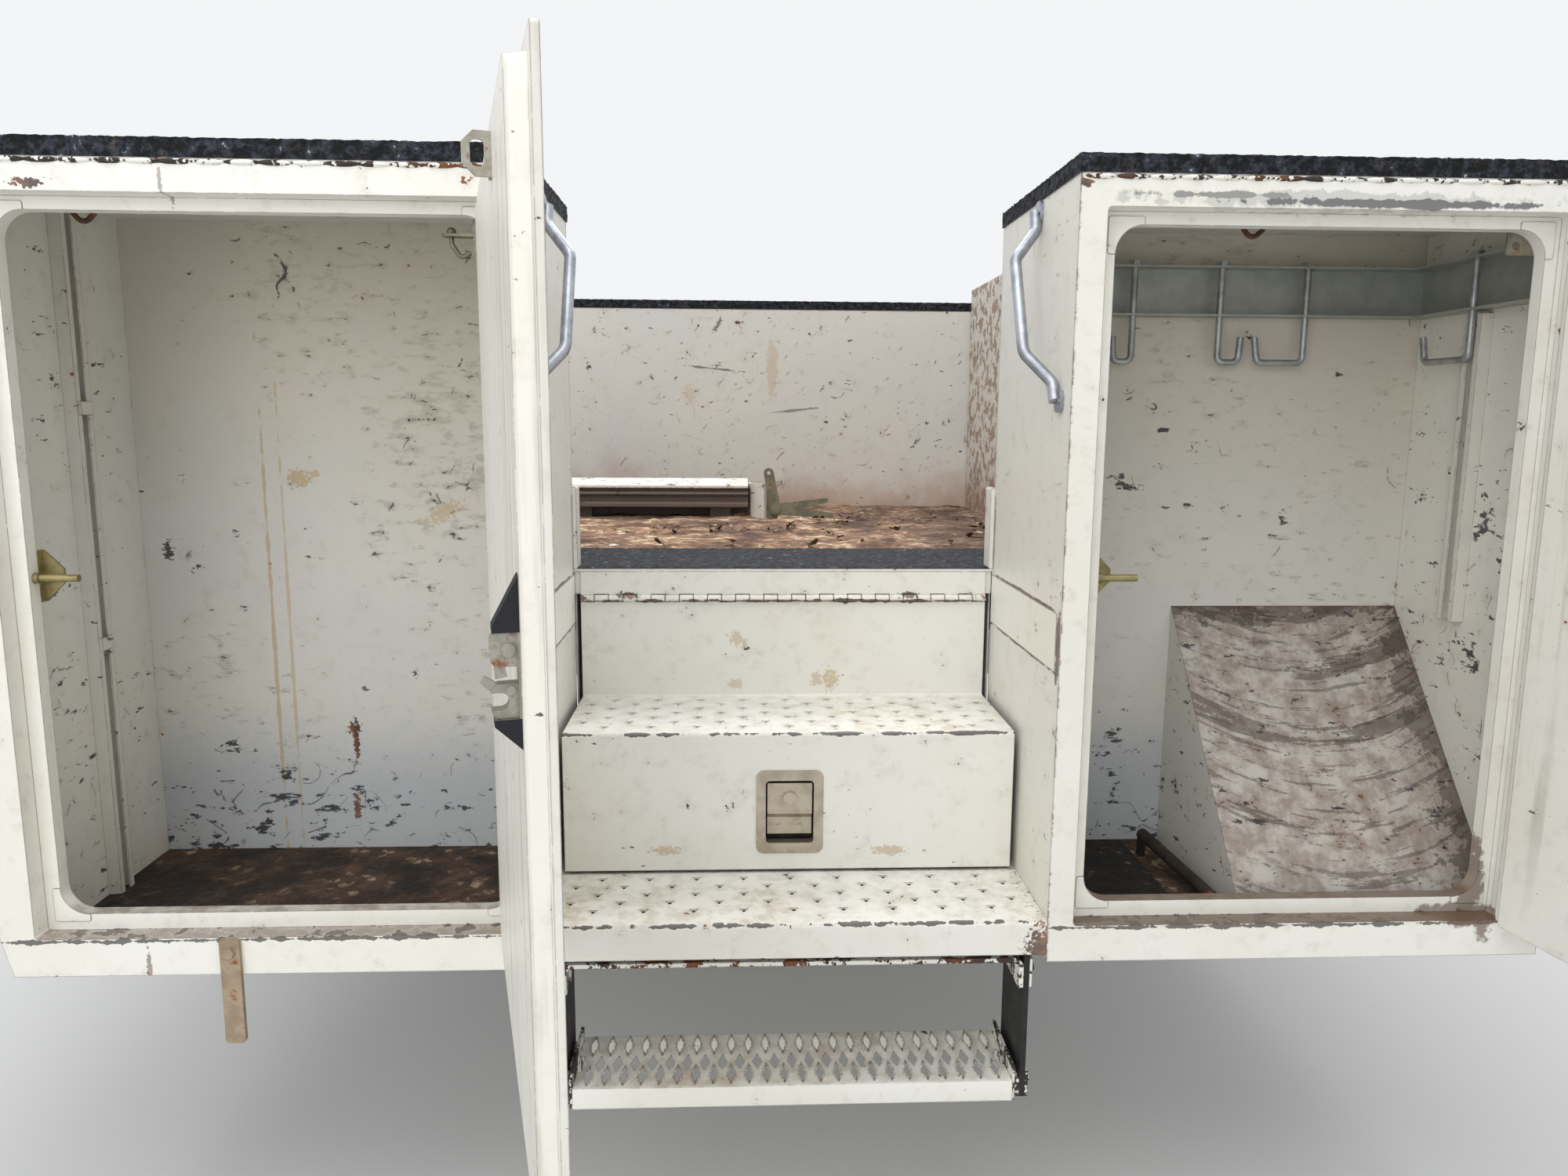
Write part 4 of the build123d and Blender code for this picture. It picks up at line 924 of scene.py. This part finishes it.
LIP_END, GROOVE_START = 0.016, 0.022
END_PLATE = 0.045


def rail_marks(at, colour):
    """The rail is dark brown in its groove, below the top lip; its top lip and its end plate keep
    their paint.
    """
    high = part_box("deck_rail")[1]
    ragged = times_plus(at.grit, 0.008, at.z)
    below = ramp(ragged, high.z - LIP_END, high.z - GROOVE_START)
    inner = is_under(at.x, high.x - END_PLATE)
    return tint(times(below, inner), 0.9, colour, rgb(74, 54, 42))


rail_paint = paint("rail_paint", rubs=0.3, density=0.5, chips=1.2, rust=0.26, ledges=0.2, gloss=0.4,
                   own_marks=rail_marks)
print("metals ready")

# %% [markdown]
# ## Dirt on the floors
#
# Red road dirt, rust scale and dry leaves lie on the deck, with painted shade over them in the
# far corner by the cross box and behind the low rail. The rear cabinet's floor is brown with pale
# flakes of paint, the front one's is nearly black.

# %% Dirt
def deck_shade(at, colour):
    """Painted shade over the dirt at the deck's far corner and beside the low rail."""
    # painted shade, darkest at the far corner and behind the rail
    corner = ramp(plus(at.x, times(at.broad, 0.5)), 0.45, 0.75)
    behind = ramp(minus(at.y, at.x), 0.55, 0.95)
    return tint(highest(corner, behind), 0.55, colour, rgb(58, 40, 32))


black_coating = coating("black_coating")
deck_dirt = dirt("deck_dirt", rgb(72, 50, 40), rgb(164, 126, 98), rgb(222, 198, 164), scale=30.0,
                 pale_share=0.4, shade=deck_shade)
floor_dirt = dirt("floor_dirt", rgb(32, 24, 19), rgb(88, 66, 50), rgb(158, 140, 114), scale=34.0,
                  pale_share=0.22)
dark_dirt = dirt("dark_dirt", rgb(14, 12, 11), rgb(36, 30, 26), rgb(116, 106, 92), scale=50.0,
                 pale_share=0.10)
print("dirt ready")

# %% [markdown]
# ## Dress the pieces
#
# Each piece of the bay gets its finish by name. A table keeps the whole assignment in one place, so
# that a piece without a finish stands out at once.

# %% Finishes by name
inner_paint = paint("inner_paint", white=rgb(214, 212, 205), yellow=0.4, rubs=0.3, scratches=0.5,
                    density=0.45, rust=0.14, gloss=0.42)
outer_paint = paint("outer_paint", rubs=0.18, scratches=0.25, chips=0.85, rust=0.18, ledges=0.6)

FINISHES = [(faces, "rear_cabinet_face front_cabinet_face street_face"),
            (end_walls, "cabinet_end_walls"), (back_walls, "cabinet_backs"),
            (far_wall, "street_inner_wall"), (cross_box, "cross_box"),
            (housing, "outrigger_housing"),
            (inner_paint, "street_partitions compartment_ceilings step_bin shelf_tracks"),
            (outer_paint, "door_hinges stair_patches"), (rusted_paint, "step_hanger strap_clamps"),
            (rail_paint, "deck_rail"), (steps, "bottom_tread step_lid lid_hinge deck drop_step"),
            (floor_dirt, "compartment_floors"),
            (black_coating, "rear_cabinet_cap front_cabinet_cap street_cap"),
            (black, "frame_sills cross_members"), (rubber, "step_straps"),
            (stainless, "paddle_latch"), (bright, "grab_handles"), (galvanised, "hook_rail"),
            (hook_steel, "rod_hooks"), (zinc, "striker_pins"),
            (grey_zinc, "stay_brackets rail_latch"), (rusty, "ceiling_hooks"),
            (dark_pipe, "floor_pipe"), (weathered_bar, "hanging_tab")]
finish_of = {name: finish for finish, names in FINISHES for name in names.split()}
for door in ("rear", "front", "street_rear", "street_middle", "street_front"):
    finish_of[door + "_door"] = doors
    finish_of[door + "_door_latches"] = latch_finish(door) if door in DOOR_HINGES else zinc


def dress(piece, material):
    """Gives a piece one material all over."""
    piece.data.materials.clear()
    piece.data.materials.append(material)


for name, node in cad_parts.items():
    dress(node, finish_of[name])
print("dressed", len(finish_of), "pieces")

# %% [markdown]
# ## Modelling helpers
#
# Modelling tools act on whatever is selected, and the bay's own pieces start out selected. So each
# new piece begins with an empty selection. A finished piece keeps its place in its mesh, with its
# object at the origin, unturned and unscaled, which keeps every pattern on it at its true scale.

# %% Start and finish a piece
def clear_selection():
    """Leaves edit mode and deselects everything."""
    if bpy.context.object and bpy.context.object.mode != "OBJECT":
        bpy.ops.object.mode_set(mode="OBJECT")
    bpy.ops.object.select_all(action="DESELECT")


def take(piece):
    """Selects one piece alone and makes it the active one."""
    clear_selection()
    piece.select_set(True)
    bpy.context.view_layer.objects.active = piece
    return piece


def settle(piece, name):
    """Names a new piece and puts its place, turn and size into its mesh."""
    take(piece)
    piece.name = name
    bpy.ops.object.transform_apply(location=True, rotation=True, scale=True)
    return piece


def finish_modifiers(piece):
    """Applies every modifier on a piece, first to last."""
    take(piece)
    for modifier in list(piece.modifiers):
        bpy.ops.object.modifier_apply(modifier=modifier.name)
    return piece


def edit_all():
    """Enters edit mode with everything selected."""
    bpy.ops.object.mode_set(mode="EDIT")
    bpy.ops.mesh.select_all(action="SELECT")


def face_outwards():
    """Turns every normal outwards and leaves edit mode."""
    bpy.ops.mesh.select_all(action="SELECT")
    bpy.ops.mesh.normals_make_consistent(inside=False)
    bpy.ops.object.mode_set(mode="OBJECT")


def grid_sheet(name, x, y, z, step):
    """Flat grid over a range of x and one of y, with cells of about a step."""
    clear_selection()
    bpy.ops.mesh.primitive_grid_add(x_subdivisions=round((x[1] - x[0]) / step),
                                    y_subdivisions=round((y[1] - y[0]) / step), size=1,
                                    location=((x[0] + x[1]) / 2, (y[0] + y[1]) / 2, z))
    sheet = bpy.context.object
    sheet.scale = (x[1] - x[0], y[1] - y[0], 1)
    return settle(sheet, name)


def roughen(piece, name, grain, depth, level, strength):
    """Displace modifier that moves a piece's surface by a cloud pattern; returns the modifier."""
    clouds = bpy.data.textures.new(name, "CLOUDS")
    clouds.noise_scale = grain
    clouds.noise_depth = depth
    bumps = piece.modifiers.new(name, "DISPLACE")
    bumps.texture = clouds
    bumps.texture_coords = "LOCAL"
    bumps.mid_level = level
    bumps.strength = strength
    return bumps


def repeat_along_x(piece, count, pitch):
    """Array modifier that lays copies along x; returns the modifier."""
    copies = piece.modifiers.new("copies", "ARRAY")
    copies.count = count
    copies.use_relative_offset = False
    copies.use_constant_offset = True
    copies.constant_offset_displace = (pitch, 0, 0)
    return copies


def join(pieces, name):
    """Joins several pieces into one mesh."""
    take(pieces[0])
    for piece in pieces:
        piece.select_set(True)
    bpy.ops.object.join()
    bpy.context.object.name = name
    return bpy.context.object


def hang(piece, body, material, slot, *nodes):
    """Dresses a piece, hangs it on a body and lets it stand for some of the bay's pieces."""
    dress(piece, material)
    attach(piece, body)
    if nodes:
        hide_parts(*nodes)
    piece.data.update()
    print(piece.name, len(piece.data.polygons), "faces")


# %% [markdown]
# ## The coated caps
#
# The tops of the packs are covered with a thick, black, non-slip coating. Sprayed on, it dries in
# coarse grains and drips over the edge in ridges. A bump alone would leave the outline ruler
# straight, so the lid is modelled as a fine grid, its rim is extruded down, and a displace
# modifier pushes the grains in from the lid's true size. It only pushes inwards, so the cap never
# grows.

# %% Grain and caps
GRAIN_SIZE = 0.0075
GRAIN_DETAIL = 3
COATING_DEPTH = 0.0042
LIP_ROWS = 5
CAP_STEPS = {"rear_cabinet_cap": 0.005, "front_cabinet_cap": 0.005, "street_cap": 0.008}


def coated_cap(node, step):
    """Lid with a lip, as fine as step, roughened by the coating's grain."""
    low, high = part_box(node)
    lid = grid_sheet(node + "_coating", (low.x, high.x), (low.y, high.y), high.z, step)
    edit_all()
    bpy.ops.mesh.region_to_loop()
    down = (0, 0, (low.z - high.z) / LIP_ROWS)
    for _ in range(LIP_ROWS):
        bpy.ops.mesh.extrude_region_move(TRANSFORM_OT_translate={"value": down})
    face_outwards()
    roughen(lid, "grains", GRAIN_SIZE, GRAIN_DETAIL, 1.0, COATING_DEPTH)
    return finish_modifiers(lid)


for node, step in CAP_STEPS.items():
    hang(coated_cap(node, step), "bay", black_coating, "black_coating", node)

# %% [markdown]
# ## The drop step's plank
#
# The plank is a grating made from one sheet: rows of openings are punched, the rims of two rows
# are torn up into teeth that grip a boot, and the strands between them are pressed down like small
# dishes. It repeats every few centimetres, so only one cell is modelled. Circles become the
# opening and the cell's outline, the space between them is filled and subdivided, the strands are
# pressed down, and the rims are extruded up, every third point higher than the rest, to make the
# teeth. An array then lays the cells side by side, and the long edges are folded down.

# %% One cell of the plank
plank_low, plank_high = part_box("drop_step")
PLANK_PITCH = 0.0288
PLANK_CELLS = 24
PLANK_EDGE = 0.004
PLANK_SUNK = 0.001
ROW_FRONT = plank_low.y + 0.034
ROW_MIDDLE = plank_low.y + 0.076
ROW_BACK = plank_low.y + 0.118
OPENING_HALF = (0.0085, 0.027)
OPENING_POINTS = 24
OPENING_FULLNESS = 1.6
POINTED_END = 0.0007
NOTCH_DEPTH, NOTCH_LENGTH = OPENING_HALF[0] * 0.92, OPENING_HALF[1] * 0.8
TOOTH = 0.0011
TOOTH_HEIGHT = 0.0022
TOOTH_EXTRA = 0.8
RIM_HALF = (0.0105, 0.028)
RIM_DRAWN_IN = 0.88
DISH_DEPTH, DISH_REACH = 0.0085, 0.036
OUTER_DEPTH, OUTER_REACH = 0.004, 0.030
ON_PLANE = 1e-4


def outline_from_circle(points, place):
    """Circle whose vertices are moved one by one to a list of X and Y places."""
    clear_selection()
    bpy.ops.mesh.primitive_circle_add(vertices=len(points), radius=1.0, location=(0, 0, place))
    ring = bpy.context.object
    settle(ring, "outline")
    for vertex, (x, y) in zip(ring.data.vertices, points):
        vertex.co.x, vertex.co.y = x, y
    return ring


def toothed_opening(row):
    """Places round a lens-shaped opening, pointed at both ends, with teeth along its sides."""
    points = []
    for index in range(OPENING_POINTS):
        turn = 2 * math.pi * index / OPENING_POINTS
        along = math.sin(turn)
        tooth = TOOTH if index % 2 else -TOOTH
        width = OPENING_HALF[0] * (1 - abs(along) ** OPENING_FULLNESS) + tooth
        side = 0.0 if abs(along) > 0.99 else math.copysign(max(width, POINTED_END), math.cos(turn))
        points.append((side, row + along * OPENING_HALF[1]))
    return points


def cell_outline():
    """Places round one cell, with half a plain diamond cut from each side."""
    half, notch = PLANK_PITCH / 2, NOTCH_DEPTH
    front, back = plank_low.y + PLANK_EDGE, plank_high.y - PLANK_EDGE
    near, far = ROW_MIDDLE - NOTCH_LENGTH, ROW_MIDDLE + NOTCH_LENGTH
    return [(-half, front), (half, front), (half, near), (half - notch, ROW_MIDDLE), (half, far),
            (half, back), (-half, back), (-half, far), (-half + notch, ROW_MIDDLE), (-half, near)]


def press_dishes(vertex):
    """How far down a strand goes: most beside the middle row, a little beside the toothed ones."""
    beside = 0.5 - 0.5 * math.cos(2 * math.pi * vertex.co.x / PLANK_PITCH)
    middle = max(0.0, 1 - abs(vertex.co.y - ROW_MIDDLE) / DISH_REACH)
    outer = max(0.0, 1 - min(abs(vertex.co.y - row) for row in (ROW_FRONT, ROW_BACK)) / OUTER_REACH)
    return DISH_DEPTH * middle * (0.35 + 0.65 * beside) + OUTER_DEPTH * outer * beside


def select_edges(piece, test):
    """Selects the edges of a piece, in edit mode, that pass a test."""
    take(piece)
    bpy.ops.object.mode_set(mode="EDIT")
    bpy.ops.mesh.select_mode(type="EDGE")
    bpy.ops.mesh.select_all(action="DESELECT")
    shape = bmesh.from_edit_mesh(piece.data)
    for edge in shape.edges:
        if test(edge):
            edge.select_set(True)
    shape.select_flush_mode()
    bmesh.update_edit_mesh(piece.data)


def border_at(axis, place):
    """Test for boundary edges on a plane: axis 0, 1 or 2 and the place along it."""
    return lambda edge: edge.is_boundary and all(
        abs(vertex.co[axis] - place) < ON_PLANE for vertex in edge.verts)


def extrude_edges(*step):
    """Extrudes the selected edges by a step along x, y and z."""
    bpy.ops.mesh.extrude_edges_move(TRANSFORM_OT_translate={"value": step})


top = plank_high.z - PLANK_SUNK
rings = [outline_from_circle(cell_outline(), top)]
rings += [outline_from_circle(toothed_opening(row), top) for row in (ROW_FRONT, ROW_BACK)]
cell = join(rings, "plank_cell")
edit_all()
bpy.ops.mesh.fill(use_beauty=True)
bpy.ops.mesh.select_all(action="SELECT")
bpy.ops.mesh.subdivide(number_cuts=2)
bpy.ops.object.mode_set(mode="OBJECT")
for vertex in cell.data.vertices:
    vertex.co.z -= press_dishes(vertex)


def on_toothed_rim(edge):
    """Boundary edge of one of the two toothed openings."""
    middle = (edge.verts[0].co + edge.verts[1].co) / 2
    row = min((ROW_FRONT, ROW_BACK), key=lambda place: abs(place - middle.y))
    near = abs(middle.x) < RIM_HALF[0] and abs(middle.y - row) < RIM_HALF[1]
    return edge.is_boundary and near


select_edges(cell, on_toothed_rim)
extrude_edges(0, 0, TOOTH_HEIGHT)
shape = bmesh.from_edit_mesh(cell.data)
for number, vertex in enumerate(v for v in shape.verts if v.select):
    vertex.co.z += TOOTH_HEIGHT * (TOOTH_EXTRA if number % 3 == 0 else 0.0)
    vertex.co.x *= RIM_DRAWN_IN
bmesh.update_edit_mesh(cell.data)
bpy.ops.object.mode_set(mode="OBJECT")
print("one cell:", len(cell.data.polygons), "faces")

# %% [markdown]
# The cells are set side by side by an array that merges their shared edges. The long front and back
# edges are then extruded over a small bend and down, and Solidify gives the sheet its thickness.

# %% Lay the cells and fold the edges
MERGE_REACH = 0.0004
FOLD_SHORT = 0.003
FOLDS = [(0.0024, -0.0006), (0.0012, -0.0022), (0, plank_low.z - top + FOLD_SHORT)]
PLANK_SHEET = 0.0022

for vertex in cell.data.vertices:
    vertex.co.x -= PLANK_PITCH * (PLANK_CELLS - 1) / 2
cells = repeat_along_x(cell, PLANK_CELLS, PLANK_PITCH)
cells.use_merge_vertices = True
cells.merge_threshold = MERGE_REACH
plank = finish_modifiers(cell)
for edge_y, way in ((plank_low.y + PLANK_EDGE, -1), (plank_high.y - PLANK_EDGE, 1)):
    select_edges(plank, border_at(1, edge_y))
    for outwards, down in FOLDS:
        extrude_edges(0, way * outwards, down)
for side in (-1, 1):
    end_x = side * PLANK_PITCH * PLANK_CELLS / 2
    select_edges(plank, border_at(0, end_x))
    extrude_edges(plank_high.x * side - end_x, 0, 0)
bpy.ops.object.mode_set(mode="OBJECT")
wall = plank.modifiers.new("sheet", "SOLIDIFY")
wall.thickness = PLANK_SHEET
wall.offset = -1
finish_modifiers(plank)
bpy.ops.object.shade_smooth_by_angle(angle=math.radians(35))
plank.name = "grating_plank"
hang(plank, "bay", steps, "step_steel", "drop_step")

# %% [markdown]
# ## Raised rims round the treads' holes
#
# The treads are punched from below, so each three-pronged hole has a rim of metal pushed up round
# it. One rim is a circle of twelve points drawn in to a three-pronged star, extruded outwards to
# the tread and inwards down the hole. Arrays repeat it along each row.

# %% Rims
PUNCH_PITCH = 0.080
PUNCH_ROW = 0.0305
PRONG, WAIST = 0.0088, 0.0034
RIM_HEIGHT = 0.0019
RIM_POINTS = 12
RIMS_IN_ROW = (9, 10)
SLOPES = [(1.25, -0.0002), (1.35, -0.0015)]
THROAT_DEPTH, THROAT_TAPER = 0.0075, 0.6
RIM_ROWS = [("low_tread_rims", "bay", 0.050, 5, LOW_TREAD),
            ("middle_tread_rims", "step_lid", 0.236, 7, MIDDLE_TREAD)]


def punched_rim(x, y, z):
    """Raised rim round one three-pronged hole."""
    points = []
    for index in range(RIM_POINTS):
        turn = math.radians(360 / RIM_POINTS * index - 90)
        reach = WAIST + (PRONG - WAIST) * (0.5 + 0.5 * math.cos(3 * (turn + math.pi / 2))) ** 1.3
        points.append((x + reach * math.cos(turn), y + reach * math.sin(turn)))
    rim = outline_from_circle(points, z + RIM_HEIGHT)
    edit_all()
    for grow, drop in SLOPES:
        extrude_edges(0, 0, drop)
        bpy.ops.transform.resize(value=(grow, grow, 1), center_override=(x, y, z))
    bpy.ops.object.mode_set(mode="OBJECT")
    select_edges(rim, border_at(2, z + RIM_HEIGHT))
    extrude_edges(0, 0, -THROAT_DEPTH)
    bpy.ops.transform.resize(value=(THROAT_TAPER, THROAT_TAPER, 1), center_override=(x, y, z))
    face_outwards()
    return rim


def rim_rows(name, first_row, rows, z):
    """Rows of rims with two counts by turns."""
    made = []
    for row in range(rows):
        count = RIMS_IN_ROW[row % 2]
        rim = punched_rim(-PUNCH_PITCH * (count - 1) / 2, first_row + row * PUNCH_ROW, z)
        repeat_along_x(rim, count, PUNCH_PITCH)
        made.append(finish_modifiers(rim))
    rims = join(made, name)
    bpy.ops.object.shade_smooth_by_angle(angle=math.radians(50))
    return rims


for name, body, inwards, rows, level in RIM_ROWS:
    hang(rim_rows(name, FACE_Y + inwards, rows, level), body, steps, "white_paint")

# %% [markdown]
# ## Crusts of coating and dirt
#
# Flat floors give a model away. The strip of deck beside the steps has the same coarse coating as
# the caps, the rest of the deck lies under rust scale and blown dirt, and each cabinet's floor has
# its own crust. Each crust is a grid on its floor; one displace modifier heaps it up in clouds, and
# its border stays down on the floor.

# %% Crusts
CRUST_LIFT = 0.0004
CRUST_DETAIL = 5
BORDER_CELLS = 1.5
COATED_STRIP = 0.33
FLOOR_INSET = 0.006
DECK_INSET, WALL_GAP, PACK_GAP = 0.004, 0.002, 0.001
HOUSING_START = 0.675


def crust(name, x, y, z, step, height, cloud, base):
    """Low sheet of dirt over a floor, heaped up in clouds of a given size, flat at its border."""
    sheet = grid_sheet(name, x, y, z + CRUST_LIFT, step)
    inner = sheet.vertex_groups.new(name="inner")
    rim = BORDER_CELLS * step
    for vertex in sheet.data.vertices:
        inside_x = x[0] + rim < vertex.co.x < x[1] - rim
        inside_y = y[0] + rim < vertex.co.y < y[1] - rim
        if inside_x and inside_y:
            inner.add([vertex.index], 1.0, "REPLACE")
    roughen(sheet, name, cloud, CRUST_DETAIL, base, height).vertex_group = "inner"
    finish_modifiers(sheet)
    bpy.ops.object.shade_smooth()
    return sheet


deck_x = (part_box("deck")[0].x + DECK_INSET, BOX_REAR_X - WALL_GAP)
strip_y = (PACK_BACK_Y + PACK_GAP, PACK_BACK_Y + COATED_STRIP)
open_y = (strip_y[1], FAR_WALL_Y - WALL_GAP)
rear_x = (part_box("cabinet_end_walls")[0].x + FLOOR_INSET, -STAIR_X - FLOOR_INSET)
front_x = (STAIR_X + FLOOR_INSET, HOUSING_START)
cabinet_y = (FACE_Y + FLOOR_INSET, PACK_BACK_Y - FLOOR_INSET)
# name, x, y, z, step, height, cloud size, base, finish, slot
CRUSTS = [
    ("deck_coating", deck_x, strip_y, DECK_TOP, 0.007, 0.0045, 0.008, 0.0, black_coating,
     "black_coating"),
    ("deck_dirt", deck_x, open_y, DECK_TOP, 0.012, 0.016, 0.06, 0.25, deck_dirt, "deck_paint"),
    ("rear_floor_dirt", rear_x, cabinet_y, FLOOR_TOP, 0.006, 0.006, 0.03, 0.3, floor_dirt,
     "floor_grime"),
    ("front_floor_dirt", front_x, cabinet_y, FLOOR_TOP, 0.006, 0.009, 0.03, 0.3, dark_dirt,
     "floor_grime")]
for *shape, finish, slot in CRUSTS:
    hang(crust(*shape), "bay", finish, slot)

# %% [markdown]
# ## Litter on the deck
#
# Dry leaves and flakes of rust collect where the wind drops them: along the low rail, in the
# corner at the cross box and around the rail's latch. Each flake is a small crumpled grid of six
# faces, turned and tipped by a seeded draw, so that every run scatters them alike.

# %% Litter
draw = random.Random(5)
LEAF_SIZES = (0.012, 0.045)
LEAF_LIFT = 0.006
# how many, from x to x, and from and to how far inwards: rail foot, latch, corner, open deck
LITTER = [(26, (-0.44, 0.06), (1.05, 1.20)), (16, (0.05, 0.24), (1.22, 1.50)),
          (22, (0.20, 0.62), (0.95, 1.55)), (14, (-0.35, 0.50), (0.78, 1.10))]


def flake(x, y, size):
    """One crumpled flake lying on the deck."""
    clear_selection()
    bpy.ops.mesh.primitive_grid_add(x_subdivisions=3, y_subdivisions=2, size=size,
                                    location=(x, y, DECK_TOP + LEAF_LIFT + 0.2 * size))
    leaf = bpy.context.object
    leaf.rotation_euler = (draw.uniform(-0.5, 0.5), draw.uniform(-0.4, 0.4),
                           draw.uniform(0, math.pi))
    leaf.scale = (1.0, draw.uniform(0.3, 0.7), 1.0)
    for vertex in leaf.data.vertices:
        vertex.co.z = size * draw.uniform(-0.14, 0.14)
        vertex.co.x *= draw.uniform(0.6, 1.0)
        vertex.co.y *= draw.uniform(0.5, 1.0)
    return settle(leaf, "flake")


flakes = []
for count, across, inwards in LITTER:
    for _ in range(count):
        x, y = draw.uniform(*across), FACE_Y + draw.uniform(*inwards)
        flakes.append(flake(x, y, draw.uniform(*LEAF_SIZES)))
litter = dirt("litter", rgb(70, 50, 36), rgb(150, 122, 92), rgb(206, 192, 168), scale=40.0,
              pale_share=0.5)
hang(join(flakes, "deck_litter"), "bay", litter, "deck_paint")

# %% [markdown]
# ## Beads under the coating
#
# The coating was sealed to the faces with a hand-laid bead, which shows as a row of soft lumps
# under the black edge. One lump is a flattened sphere, half sunk in the face, and an array
# repeats it.

# %% Beads
BEAD_PITCH = 0.045
BEAD_START = 0.030
BEAD_HALF_SIZES = (0.026, 0.0045, 0.0042)
BEAD_SUNK = 0.0005
BEAD_DOWN = 0.0045


def sealing_bead(node, cap_node):
    """Row of lumps along the top of a face, just below the coating."""
    low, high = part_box(node)
    clear_selection()
    place = (low.x + BEAD_START, FACE_Y + BEAD_SUNK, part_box(cap_node)[0].z - BEAD_DOWN)
    bpy.ops.mesh.primitive_uv_sphere_add(segments=10, ring_count=6, radius=1.0, location=place)
    lump = bpy.context.object
    lump.scale = BEAD_HALF_SIZES
    settle(lump, node + "_bead")
    repeat_along_x(lump, int((high.x - low.x - BEAD_START) / BEAD_PITCH), BEAD_PITCH)
    finish_modifiers(lump)
    bpy.ops.object.shade_smooth()
    return lump


for side in ("rear", "front"):
    bead = sealing_bead(side + "_cabinet_face", side + "_cabinet_cap")
    hang(bead, "bay", rusted_paint, "white_paint")

# %% [markdown]
# ## A floor under it
#
# The floor is a plain pale sheet that only catches the bay's soft shadow. It lies where the ground
# would be below a body of this kind, a step down from the drop step.

# %% Floor
GROUND_Z = BODY_BOTTOM - 0.56
FLOOR_SIZE = 60.0

clear_selection()
bpy.ops.mesh.primitive_plane_add(size=FLOOR_SIZE, location=(0, 0, GROUND_Z))
floor = bpy.context.object
floor.name = "studio_floor"
paper = bpy.data.materials.new("floor_paper")
paper.use_nodes = True
fill(paper.node_tree.nodes["Principled BSDF"], Base_Color=(0.72, 0.72, 0.71, 1), Roughness=0.9)
dress(floor, paper)
print("floor at", round(GROUND_Z, 3))

# %% [markdown]
# ## The end
#
# The last cell closes the script.

# %% Finish
print("script finished")
